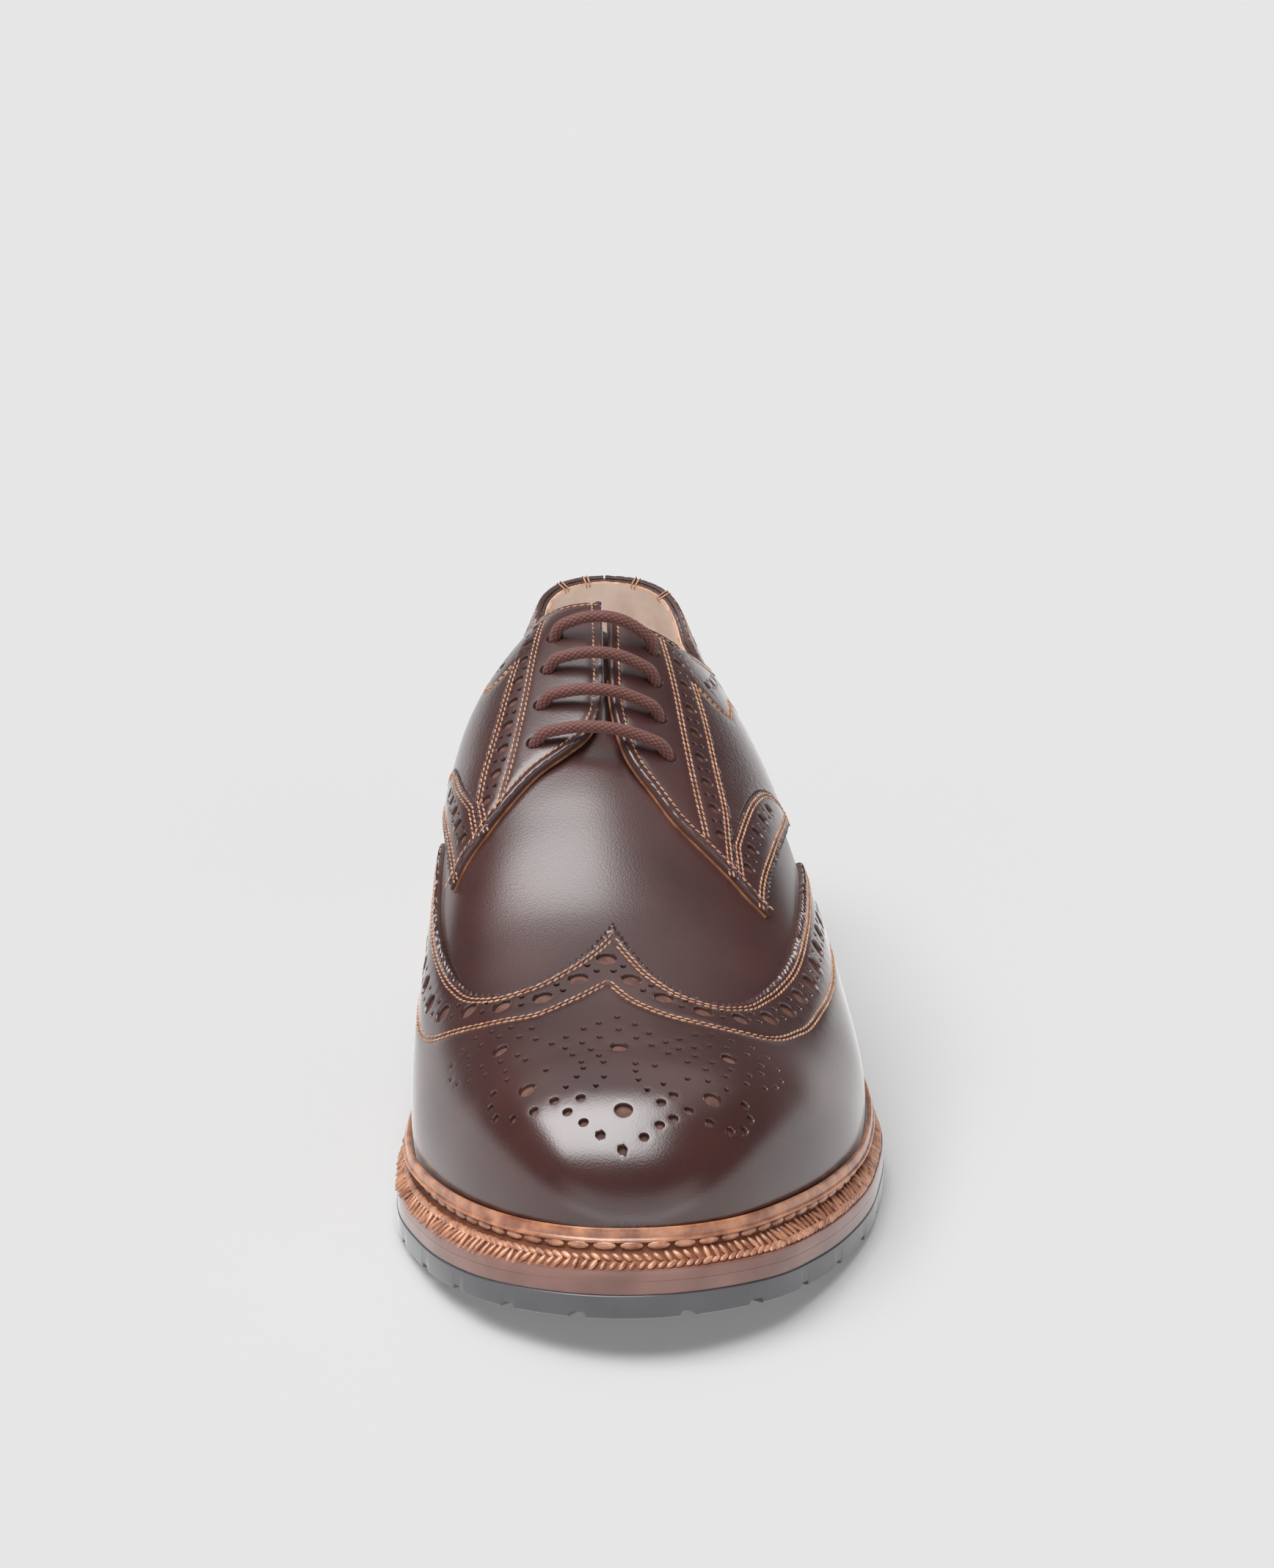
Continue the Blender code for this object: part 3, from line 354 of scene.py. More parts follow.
# Stitch rows and brogue holes: station from the toe in mm, and share of the rib from ridge to sole
WING_ROW_IN = ((71, 0.022), (65.1, 0.129), (62.1, 0.237), (65, 0.358), (72.3, 0.514), (79.3, 0.618),
               (89.4, 0.685), (98, 0.715), (115, 0.77), (132, 0.83), (148, 0.91), (156, 1.0))
WING_ROW_OUT = ((71, -0.022), (62.6, 0.055), (58.8, 0.134), (58, 0.245), (60.4, 0.376), (74.6, 0.515),
                (90.6, 0.582), (112, 0.669), (135, 0.75), (150, 0.83), (160, 0.92), (166, 1.0))
WING_HOLES_IN = ((79.7, 0.024), (72.7, 0.111), (68.2, 0.215), (70.6, 0.347), (77.1, 0.472), (85, 0.574),
                 (94, 0.625), (103.2, 0.654), (113, 0.69), (133, 0.74), (152, 0.82), (164, 0.90))
WING_HOLES_OUT = ((79.7, -0.024), (71.7, 0.048), (65.7, 0.142), (63.9, 0.262), (69.5, 0.382), (78.4, 0.459),
                  (89.1, 0.507), (98.7, 0.55), (107.4, 0.581), (116.4, 0.612), (135, 0.68), (154, 0.77),
                  (168, 0.88))
FACING_ROW_IN = ((188.9, 0.243), (170.3, 0.256), (156.1, 0.271), (140.8, 0.301), (128.4, 0.344))
FACING_ROW_OUT = ((184.5, 0.225), (168.5, 0.243), (152.1, 0.251), (138.5, 0.259), (123.5, 0.272))
FACING_HOLES_IN = ((188, 0.275), (171.7, 0.294), (163.6, 0.305), (155.4, 0.319), (146.9, 0.331),
                   (139.5, 0.352), (133.3, 0.387))
FACING_HOLES_OUT = ((186, 0.265), (171.4, 0.284), (154.9, 0.289), (141.2, 0.299), (126.8, 0.318))
EAR_HOLES_IN = ((128.8, 0.48), (136.1, 0.512), (143.4, 0.543), (154, 0.592))
EAR_HOLES_OUT = ((121.6, 0.388), (127.8, 0.409), (134.7, 0.434), (141.9, 0.466), (152.4, 0.522))
BAND_IN = ((175, 0.338), (173.8, 0.365), (173.7, 0.40), (176, 0.445), (183, 0.475), (196, 0.488))
BAND_OUT = ((174.8, 0.338), (174.3, 0.402), (175.5, 0.439), (181.3, 0.468), (193.2, 0.492))

# The toe medallion: hole radius and the places of the holes, shares signed by side
LARGE, MEDIUM, SMALL = 1.8, 0.9, 0.5
MEDALLION = (
    (LARGE, (23.9, -0.018), (44.3, -0.012), (34.5, -0.352), (28.9, 0.30), (53.4, -0.38), (45.2, 0.302)),
    (MEDIUM, (36.9, -0.525), (39.9, -0.48), (33.3, -0.538), (29.6, -0.478), (28.2, -0.375), (28.6, -0.272),
     (25.1, -0.239), (27.8, -0.167), (22.1, -0.188), (19.2, -0.129), (16.4, -0.037), (18.5, 0.061),
     (20.9, 0.12), (25.9, 0.113), (28, 0.152), (22.5, 0.171), (24.8, 0.224), (23.5, 0.334), (23.8, 0.443),
     (25.8, 0.5), (31.1, 0.433), (28.9, 0.489)),
    (SMALL, (63.5, -0.509), (63.8, -0.447), (62.4, -0.389), (61.4, -0.562), (59, -0.494), (59.6, -0.437),
     (58.8, -0.369), (60.4, -0.325), (57.5, -0.589), (55.6, -0.508), (55.2, -0.306), (57, -0.261),
     (53.7, -0.575), (50.3, -0.532), (51.7, -0.464), (52, -0.255), (47.8, -0.467), (48.9, -0.392),
     (48.2, -0.329), (48.5, -0.209), (44.6, -0.392), (45.3, -0.308), (41.1, -0.403), (38.7, -0.254)),
    (SMALL, (54.3, -0.06), (56.6, -0.007), (52.4, -0.106), (51.4, -0.007), (53.7, 0.036), (50.2, 0.069),
     (50, -0.162), (46.8, -0.117), (48.5, -0.063), (48.1, 0.036), (45.7, -0.171), (42.5, -0.153),
     (43.7, -0.094), (45.3, 0.074), (39.1, -0.131), (41, -0.073), (38.3, -0.063), (36.7, -0.129),
     (34.7, 0.028), (37.4, 0.029), (31.4, -0.207), (34, -0.158), (30.5, -0.101), (33, -0.069), (31.8, 0.035),
     (30.8, 0.112), (28.9, 0.062)),
    (SMALL, (52.1, 0.195), (53.7, 0.242), (53.5, 0.299), (53.6, 0.364), (52.5, 0.419), (47, 0.112),
     (49, 0.15), (46.4, 0.192), (48.4, 0.236), (49.4, 0.286), (49.6, 0.353), (47.7, 0.41), (49.7, 0.466),
     (46.5, 0.496), (42.4, 0.12), (44.8, 0.148), (42.7, 0.199), (44.5, 0.421), (43.1, 0.492), (39.6, 0.178),
     (41.3, 0.254), (40.6, 0.321), (41.4, 0.385), (39.9, 0.461), (36.8, 0.082), (37.9, 0.239), (37.3, 0.314),
     (37.7, 0.393), (33.2, 0.188), (33.8, 0.259), (32.9, 0.337)),
)

# Camera, lights and surround
CAMERA_AT = (-30.3, -671.0, 324.6)
CAMERA_PITCH = 16.47
CAMERA_YAW = 2.32
FOCAL_PIXELS = 4798
PICTURE_PIXELS = 2137
SENSOR_HEIGHT = 36.0
NEAREST = 0.05
# The floor's colour and the light it gives by itself, which keeps the shadows pale
FLOOR_COLOUR = (0.56, 0.56, 0.56)
FLOOR_GLOW = 0.16
FLOOR_REACH = 12.0

# The studio's light by direction, all at a great distance so that it falls evenly on the floor: a dark
# room, a paler horizon, a glow low in front, each with the values at which it is full and gone, and
# softboxes, each with the middle and half sizes of its x/z and y/z, the softness of its edge and its
# strength. The last is the lowest z that they are worked out with
ROOM = 0.07
HORIZON = 0.72
HORIZON_FADE = (0.04, 0.24)
FRONT = 0.7
FRONT_FADE = (-0.80, -0.45)
FRONT_HEIGHT_FADE = (0.35, 0.60)
SOFTBOXES = ((-0.33, 0.50, -0.10, 0.38, 0.14, 5.6), (-0.10, 0.75, 0.72, 0.50, 0.40, 0.45))
LOWEST = 0.02

# Finishes: the noise that mottles a colour, and the roughness of coat and sheen
MOTTLE_DETAIL = 4.0
MOTTLE_RANGE = (0.35, 0.65)
COAT_ROUGHNESS = 0.12
SHEEN_ROUGHNESS = 0.25

# Worked out from the above: the heel's fan, the back seam, the reach of the heel and the toe tips. The
# last is the factor that brings the swell's curve, t * t * (1 - t), to a peak of one
FAN_Y = LENGTH * FAN_AT / 100
BACK = FAN_Y + FAN_RADIUS * math.pi / 2
HEEL_REACH = {"sole": LENGTH - FAN_Y, "foot": LENGTH - FAN_Y - HEEL_MARGIN}
TIP = {"sole": 0.0, "foot": TOE_MARGIN}
SWELL_PEAK = 27 / 4


def through(rows, x):
    """Cubic curve through rows of (x, value), its slope at a row taken from the two rows beside it."""
    rows = np.asarray(rows, float)
    xs, ys = rows[:, 0], rows[:, 1]
    slope = np.gradient(ys, xs)
    k = np.clip(np.searchsorted(xs, x) - 1, 0, len(xs) - 2)
    gap = xs[k + 1] - xs[k]
    t = np.clip((x - xs[k]) / gap, 0, 1)
    start = (1 + 2 * t) * (1 - t) ** 2 * ys[k] + t * (1 - t) ** 2 * gap * slope[k]
    return start + t * t * (3 - 2 * t) * ys[k + 1] + t * t * (t - 1) * gap * slope[k + 1]


def section(name, y):
    """A column of the section table at y, in millimetres or as the plain share it holds."""
    rows = SECTIONS[:, [0, SECTION_COLUMNS.index(name)]] * (LENGTH / 100, 1)
    value = through(rows, np.minimum(y, FAN_Y))
    if name in WIDTHS:
        return value * BALL_WIDTH / 100
    if name == "ridge_z":
        return value * INSTEP_HEIGHT / 100
    return value


def ground(y):
    """Height of the sole's underside: toe spring, flat ball, rise through the waist, level heel seat."""
    spring = TOE_SPRING * np.clip(1 - y / SPRING_END, 0, None) ** 2
    s = np.clip((y - BALL_END) / (SEAT_START - BALL_END), 0, 1)
    return spring + HEEL_HEIGHT * s * s * (3 - 2 * s)


def rounded(y, start, length, power):
    """A quarter superellipse's rise from 0 at start to 1 at start + length; power 2 is a circle's."""
    t = np.clip((y - start) / length, 0, 1)
    return (1 - (1 - t) ** power) ** (1 / power)


def heel_radius(angle, across, back):
    """Radius of the heel's plan, a superellipse with half-axes across and back."""
    share = (np.cos(angle) / across) ** HEEL_POWER + (np.sin(angle) / back) ** HEEL_POWER
    return share ** (-1 / HEEL_POWER)


def plan(kind, side, station):
    """Plan of the sole's edge or of the upper's foot: the table's width, rounded at toe and heel."""
    y = np.minimum(station, FAN_Y)
    angle = np.clip((station - FAN_Y) / FAN_RADIUS, 0, math.pi / 2)
    width = section(kind + ("_out" if side > 0 else "_in"), y) * rounded(y, TIP[kind], TOE_ROUND, TOE_POWER)
    x = section("axis", y) + side * width
    middle = section("ridge_x", FAN_Y)
    reach = heel_radius(angle, np.abs(x - middle), HEEL_REACH[kind])
    in_fan = angle > 0
    x = np.where(in_fan, middle + side * reach * np.cos(angle), x)
    y = np.where(in_fan, FAN_Y + reach * np.sin(angle), y)
    return np.stack([x, y], -1)


def last(station, share):
    """Outer face of the upper's wall. station runs from the toe tip to the back seam; share is -1 at
    the medial foot of the wall, 0 at the ridge and 1 at the lateral foot. Each rib is a cubic arc
    from the ridge, level there but for its tilt, to the foot, upright there, plus a swell."""
    station, share = np.broadcast_arrays(np.asarray(station, float), np.asarray(share, float))
    y = np.minimum(station, FAN_Y)
    angle = np.clip((station - FAN_Y) / FAN_RADIUS, 0, math.pi / 2)
    turn = np.sin(angle) ** 2
    lateral = share > 0
    side = np.where(lateral, 1.0, -1.0)
    t = np.abs(share)

    def sided(name, at_back=None):
        value = np.where(lateral, section(name + "_out", y), section(name + "_in", y))
        return value if at_back is None else value * (1 - turn) + at_back * turn

    toe = rounded(y, TOE_MARGIN, TOE_ROUND, TOE_POWER)
    axis = section("axis", y)
    foot = axis + side * sided("foot") * toe
    ridge = axis + (section("ridge_x", y) - axis) * toe
    across = np.abs(foot - ridge)
    reach = np.where(angle > 0, heel_radius(angle, np.maximum(across, 1e-6), HEEL_REACH["foot"]), across)
    crown = sided("crown", HEEL_CROWN)
    wall = sided("wall", HEEL_WALL)
    swell = sided("swell", HEEL_SWELL) * toe
    seat = ground(y) + SEAT
    rise = (section("ridge_z", y) - seat) * rounded(y, TOE_MARGIN, NOSE_ROUND, NOSE_POWER)
    near = 3 * t * (1 - t) ** 2
    far = 3 * t * t * (1 - t)
    out = reach * (near * crown + far + t ** 3) + swell * SWELL_PEAK * t * t * (1 - t)
    tilt = section("tilt", y) * (1 - turn)
    z = seat + rise * ((1 - t) ** 3 + near + far * wall) - side * tilt * reach * crown * near
    return np.stack([ridge + side * out * np.cos(angle), y + out * np.sin(angle), z], -1)


def outward(station, share):
    """Unit normal of the last, turned level towards the foot of the wall and straight out at the toe tip."""
    station, share = np.broadcast_arrays(np.asarray(station, float), np.asarray(share, float))
    inside = np.clip(station, TOE_MARGIN + SLOPE_STATION, BACK)
    low = np.clip(inside - NORMAL_STATION, TOE_MARGIN, BACK)
    high = np.clip(inside + NORMAL_STATION, TOE_MARGIN, BACK)
    left, right = np.clip(share - NORMAL_SHARE, -1, 1), np.clip(share + NORMAL_SHARE, -1, 1)
    normal = np.cross(last(inside, right) - last(inside, left), last(high, share) - last(low, share))
    t = np.clip((np.abs(share) - LEVEL_FROM) / LEVEL_SPAN, 0, 1)
    normal[..., 2] *= 1 - t * t * (3 - 2 * t)
    normal[station <= TOE_MARGIN] = (0, -1, 0)
    normal[station >= BACK, 0] = 0
    return normal / np.linalg.norm(normal, axis=-1, keepdims=True)


def share_at_height(station, side, height):
    """The share of the rib at which the last reaches a height, found by halving."""
    low, high = np.zeros_like(station), np.ones_like(station)
    for _ in range(HALVINGS):
        middle = (low + high) / 2
        above = last(station, side * middle)[..., 2] > height
        low, high = np.where(above, middle, low), np.where(above, high, middle)
    return (low + high) / 2


def run_along(points):
    """Distance of each point of a line from the line's start."""
    return np.concatenate([[0], np.cumsum(np.linalg.norm(np.diff(points, axis=0), axis=1))])


def resample(points, count):
    """count points at equal distances along a polyline, its ends among them."""
    run = run_along(points[:, :2])
    at = np.linspace(0, run[-1], count)
    return np.stack([np.interp(at, run, column) for column in points.T], -1)


def closed_loop(side_points):
    """A loop from the toe tip down the lateral side and back up the medial side."""
    half = LOOP_POINTS // 2 + 1
    lateral = resample(side_points(1), half)
    medial = resample(side_points(-1), half)
    return np.concatenate([lateral, medial[-2:0:-1]])


def grow(loop, distance):
    """The loop with each point moved out, square to the line through its two neighbours."""
    along = np.roll(loop[:, :2], -1, axis=0) - np.roll(loop[:, :2], 1, axis=0)
    out = np.stack([along[:, 1], -along[:, 0]], -1)
    out *= -np.sign(np.sum(out[0] * (loop[LOOP_POINTS // 2, :2] - loop[0, :2])))
    moved = loop.copy()
    moved[:, :2] += distance * out / np.linalg.norm(out, axis=1, keepdims=True)
    return moved


def stations(start):
    """Closely spaced stations at the round toe, then even ones to the back seam."""
    toe = start + TOE_ROUND * np.linspace(0, 1, TOE_STATIONS) ** 2
    return np.concatenate([toe, np.linspace(start + TOE_ROUND, BACK, SIDE_STATIONS)[1:]])


def plan_loop(kind):
    """Loop of the sole's edge or of the upper's foot, in plan."""
    return closed_loop(lambda side: plan(kind, side, stations(TIP[kind])))


def level_loop(rise):
    """Loop round the last at a rise above the foot of its wall, from the toe's ridge to the back seam."""
    near = np.linspace(TOE_MARGIN, TOE_MARGIN + NOSE_ROUND, SIDE_STATIONS)
    tall = last(near, 0.0)[:, 2] - ground(near) - SEAT
    start = np.interp(rise, tall, near)

    def side_points(side):
        at = stations(start)
        height = ground(np.minimum(at, FAN_Y)) + SEAT + rise
        share = share_at_height(at, side, height)
        share[0] = 0.0
        return last(at, side * share)

    return closed_loop(side_points)


SOLE_LOOP = plan_loop("sole")
FOOT_LOOP = plan_loop("foot")
CENTRE = (SOLE_LOOP.min(0) + SOLE_LOOP.max(0)) / 2


def on_pattern(rows, side):
    """A pattern line as points of the flat pattern, with the ribs' shares signed for their side."""
    rows = np.asarray(rows, float)
    return np.column_stack([rows[:, 0], side * rows[:, 1] * SHARE_SPAN])


def curve(rows, side=1, step=0.6):
    """A smooth pattern curve through rows of station and share, with a point about every step."""
    points = on_pattern(rows, side)
    run = run_along(points)
    at = np.linspace(0, run[-1], max(3, round(run[-1] / step) + 1))
    return np.column_stack([through(np.column_stack([run, column]), at) for column in points.T])


def base(points):
    """Places on the last under pattern points."""
    return last(points[:, 0], points[:, 1] / SHARE_SPAN)


def normals(points):
    """Outward directions of the last at pattern points."""
    return outward(points[:, 0], points[:, 1] / SHARE_SPAN)


def unit(vectors):
    """Vectors drawn to a length of one."""
    return vectors / np.maximum(np.linalg.norm(vectors, axis=-1, keepdims=True), 1e-12)


def pattern_step(points, vectors):
    """Steps on the flat pattern that move pattern points by vectors lying along the last."""
    station, share = points[:, 0], points[:, 1] / SHARE_SPAN
    inner = np.clip(station, TOE_MARGIN + SLOPE_FROM_TOE, BACK - SLOPE_FROM_BACK)
    ahead, behind = last(inner + SLOPE_STATION, share), last(inner - SLOPE_STATION, share)
    by_station = (ahead - behind) / (2 * SLOPE_STATION)
    low, high = np.clip(share - SLOPE_SHARE, -1, 1), np.clip(share + SLOPE_SHARE, -1, 1)
    by_share = (last(inner, high) - last(inner, low)) / ((high - low) * SHARE_SPAN)[:, None]
    e = np.sum(by_station * by_station, 1)
    f = np.sum(by_station * by_share, 1)
    g = np.sum(by_share * by_share, 1)
    p, q = np.sum(by_station * vectors, 1), np.sum(by_share * vectors, 1)
    return np.column_stack([p * g - q * f, q * e - p * f]) / (e * g - f * f)[:, None]


def within(points):
    """Pattern points kept on the last."""
    return np.clip(points, (TOE_MARGIN, -SHARE_SPAN), (BACK, SHARE_SPAN))


def directions(points):
    """Unit directions along a pattern line, to its left as seen from outside, and out of the last."""
    along = unit(np.gradient(base(points), axis=0))
    out = normals(points)
    return along, unit(np.cross(out, along)), out


def slide(points, distance):
    """A pattern line moved to its left by a distance on the last."""
    _, left, _ = directions(points)
    return within(points + pattern_step(points, left) * np.reshape(distance, (-1, 1)))


def even(points, step, trim=0.0):
    """Points along a pattern line at equal distances on the last, close to step apart, trim from its ends."""
    run = run_along(base(points))
    count = max(2, round((run[-1] - 2 * trim) / step) + 1)
    at = np.linspace(trim, run[-1] - trim, count)
    return np.column_stack([np.interp(at, run, column) for column in points.T])


def sawtooth(points, depth):
    """A pattern line cut to saw teeth, whose roots lie to its left by depth."""
    line = even(points, TOOTH_PITCH / 2)
    return slide(line, np.where(np.arange(len(line)) % 2, depth, 0.0))


def chain(*lines):
    """One closed outline from lines that follow on from each other."""
    points = np.concatenate(lines)
    keep = np.linalg.norm(points - np.roll(points, 1, axis=0), axis=1) > SAME_POINT
    return points[keep]


def foot_line(start, end, side):
    """Pattern points along the foot of the wall."""
    first, final = (math.sqrt(max(place - TOE_MARGIN, 0)) for place in (start, end))
    q = np.linspace(first, final, FOOT_POINTS)
    return np.column_stack([TOE_MARGIN + q * q, np.full(len(q), side * SHARE_SPAN)])


def toe_line():
    """Pattern points across the toe tip, from the lateral foot of the wall to the medial one."""
    across = np.linspace(SHARE_SPAN, -SHARE_SPAN, TOE_POINTS)
    return np.column_stack([np.full(TOE_POINTS, TOE_MARGIN), across])


def seam_line(top, count):
    """Pattern points down the lateral half of the back seam, from a place on the rib to its foot."""
    return np.column_stack([np.full(count, BACK), np.linspace(top, SHARE_SPAN, count)])


def grid_points(first, second):
    """Points of a grid, one for each pair of the two sets of values."""
    return np.stack(np.meshgrid(first, second), -1).reshape(-1, 2)


def topline(rows, side, drop=0.0, start=None):
    """Pattern points along the collar's edge, or a drop below it, ending at the back seam."""
    rows = (*rows, (BACK, COLLAR_BACK_HEIGHT))
    at = np.linspace(rows[0][0] if start is None else start, BACK, TOPLINE_POINTS)
    share = share_at_height(at, side, through(rows, at) - drop)
    return np.column_stack([at, side * share * SHARE_SPAN])


def circles(centres, radius, sides):
    """Round outlines on the last about pattern points."""
    out = normals(centres)
    across = unit(np.cross(out, (0.0, 1.0, 0.0)))
    up = np.cross(out, across)
    turn = np.linspace(0, 2 * math.pi, sides, endpoint=False)
    spokes = [radius * (math.cos(angle) * across + math.sin(angle) * up) for angle in turn]
    return np.stack([centres + pattern_step(centres, spoke) for spoke in spokes], 1)


def inside(points, loop):
    """Which points lie inside a closed outline, by counting crossings."""
    found = np.zeros(len(points), bool)
    x0, y0 = loop[:, 0], loop[:, 1]
    x1, y1 = np.roll(x0, -1), np.roll(y0, -1)
    rise = np.where(y1 == y0, 1, y1 - y0)
    for start in range(0, len(points), TESTED_AT_ONCE):
        some = slice(start, start + TESTED_AT_ONCE)
        x, y = points[some, 0:1], points[some, 1:2]
        crossing = x0 + (y - y0) / rise * (x1 - x0)
        found[some] = np.sum(((y0 > y) != (y1 > y)) & (x < crossing), axis=1) % 2 == 1
    return found


def distances(points, targets):
    """Distance from each point to the nearest of the targets, in two or three dimensions."""
    flat = np.zeros((len(targets), 3))
    flat[:, :targets.shape[1]] = targets
    tree = KDTree(len(flat))
    for number, place in enumerate(flat.tolist()):
        tree.insert(place, number)
    tree.balance()
    wanted = np.zeros((len(points), 3))
    wanted[:, :points.shape[1]] = points
    return np.array([tree.find(place)[2] for place in wanted.tolist()])


def triangulate(outline, loose, clear, holes=()):
    """Triangles over an outline less its holes, through the loose points that lie clear of the rims."""
    loops = [outline, *holes]
    rim = np.concatenate(loops)
    keep = inside(loose, outline) & (distances(loose, rim) > clear)
    for hole in holes:
        keep &= ~inside(loose, hole)
    points = np.concatenate([rim, loose[keep]])
    edges = []
    start = 0
    for loop in loops:
        count = len(loop)
        edges += [(start + i, start + (i + 1) % count) for i in range(count)]
        start += count
    found = delaunay_2d_cdt([tuple(p) for p in points.tolist()], edges, [], 0, MERGE_WITHIN, False)
    points = np.array([tuple(p) for p in found[0]])
    triangles = np.array([tuple(face) for face in found[2]])
    centres = points[triangles].mean(1)
    keep = inside(centres, outline)
    for hole in holes:
        keep &= ~inside(centres, hole)
    return points, triangles[keep]


def new_piece(name, points, groups, finishes, nodes=(), crease=50):
    """A mesh piece from points in millimetres and groups of faces, each group with its finish's number."""
    mesh = bpy.data.meshes.new(name)
    faces = [face for group, _ in groups for face in group.tolist()]
    mesh.from_pydata(((points - (*CENTRE, 0)) * MM).tolist(), [], faces)
    numbers = np.concatenate([np.full(len(group), number) for group, number in groups])
    for finish in finishes:
        mesh.materials.append(finish)
    mesh.polygons.foreach_set("material_index", numbers.astype(np.int32))
    mesh.shade_smooth()
    mesh.set_sharp_from_angle(angle=math.radians(crease))
    piece = bpy.data.objects.new(name, mesh)
    bpy.context.scene.collection.objects.link(piece)
    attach(piece, "root")
    if nodes:
        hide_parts(*nodes)
    return piece


def thicken(lower, upper, triangles):
    """Faces of a sheet between two layers of the same triangles: under side, upper side and edge."""
    count = len(lower)
    sides = set()
    for a, b, c in triangles.tolist():
        sides.update(((a, b), (b, c), (c, a)))
    walls = np.array([(b, a, a + count, b + count) for a, b in sides if (b, a) not in sides])
    return np.concatenate([lower, upper]), triangles, triangles[:, ::-1] + count, walls


def softened(distance, radius):
    """Drop of a rounded edge: a quarter circle of the radius from the edge inwards."""
    t = np.clip(1 - distance / radius, 0, 1)
    return radius * (1 - np.sqrt(1 - t * t))


TOE_ROWS = TOE_MARGIN + TOE_ROW_SPAN * (np.arange(TOE_ROW_COUNT) / (TOE_ROW_COUNT - 1)) ** 2
LAST_ROWS = np.concatenate([TOE_ROWS, np.arange(TOE_ROWS[-1] + GRID_STEP, BACK, GRID_STEP)])
RIB_ROWS = np.arange(-SHARE_SPAN + 0.5, SHARE_SPAN, GRID_STEP * RIB_SQUEEZE)
PATTERN_GRID = grid_points(LAST_ROWS, RIB_ROWS)


def leather_mesh(outline, inner, outer, rounds=(), channels=(), bores=(), edge=EDGE_ROUND, shape=None,
                 sunk=None, grid=PATTERN_GRID):
    """Points and faces of a pattern piece on the last. rounds are pairs of hole centres and radius, closed
    below by the raw leather under them; bores are the same for holes right through; channels are the pattern
    lines of stitch rows, pressed into the leather. The outer face lies at outer, less a quarter circle
    at edges and holes, less a bell-shaped groove along the channels, plus what shape adds; both faces
    go down by sunk."""
    holes, rings = [], []
    for centres, radius in (*rounds, *bores):
        sides = next(count for over, count in HOLE_SIDES if radius > over)
        holes += list(circles(centres, radius, sides))
        for wider in HOLE_RINGS:
            rings += list(circles(centres, radius + wider, sides))
    extra = [slide(outline, distance) for distance in EDGE_LINES]
    for line in channels:
        row = even(line, CHANNEL_STEP)
        extra += [slide(row, distance) for distance in CHANNEL_LINES]
    special = np.concatenate(extra)
    special = special[inside(special, outline)]
    spaced = np.unique(np.round(special / POINT_STEP).astype(int), axis=0) * POINT_STEP
    if rings:
        rings = np.concatenate(rings)
        clear = spaced[distances(spaced, rings) > RING_CLEAR]
        spaced = np.concatenate([rings[inside(rings, outline)], clear])
    loose = np.concatenate([spaced, grid[distances(grid, spaced) > GRID_CLEAR]])
    points, triangles = triangulate(outline, loose, RIM_CLEAR, holes)
    places, out = base(points), normals(points)
    step = np.linspace(0, 1, RIM_PARTS, endpoint=False)[:, None, None]
    rim = (outline + (np.roll(outline, -1, axis=0) - outline) * step).reshape(-1, 2)
    rim = rim[(rim[:, 0] > TOE_MARGIN + END_CLEAR) & (rim[:, 0] < BACK - END_CLEAR)]
    height = np.full(len(points), outer) - softened(distances(places, base(rim)), edge)
    if holes:
        height -= softened(distances(places, base(np.concatenate(holes))), HOLE_ROUND)
    if channels:
        grooves = np.concatenate([even(line, CHANNEL_STEP / 2) for line in channels])
        apart = distances(places, base(grooves))
        height -= CHANNEL_DEPTH * np.exp(-(apart / CHANNEL_WIDTH) ** 2)
    if shape:
        height += shape(points, places)
    if sunk:
        places = places - sunk(points)[:, None] * out
    cloud, under, top, walls = thicken(places + inner * out, places + height[:, None] * out, triangles)
    groups = [(under, 1), (top, 0), (walls, 2)]
    bottom = max(inner + HOLE_FLOOR, outer - HOLE_DEPTH)
    for hole in holes[:sum(len(centres) for centres, _ in rounds)]:
        start = len(cloud)
        cloud = np.concatenate([cloud, base(hole) + bottom * normals(hole)])
        fan = np.arange(1, len(hole) - 1)
        groups.append((start + np.column_stack([0 * fan, fan, fan + 1])[:, ::-1], 3))
    return cloud, groups


def leather(name, outline, inner, outer, finishes, rounds=(), channels=(), nodes=(), **more):
    """A pattern piece with its finishes: upper side, under side, cut edges and hole bottoms."""
    cloud, groups = leather_mesh(outline, inner, outer, rounds, channels, **more)
    return new_piece(name, cloud, groups, finishes, nodes)


def tube(bands, around):
    """Quads of a tube: bands between rings of around points each, numbered ring after ring."""
    ring, spot = np.meshgrid(np.arange(bands), np.arange(around), indexing="ij")
    here, beside = ring * around + spot, ring * around + (spot + 1) % around
    return np.stack([here, here + around, beside + around, beside], -1).reshape(-1, 4)


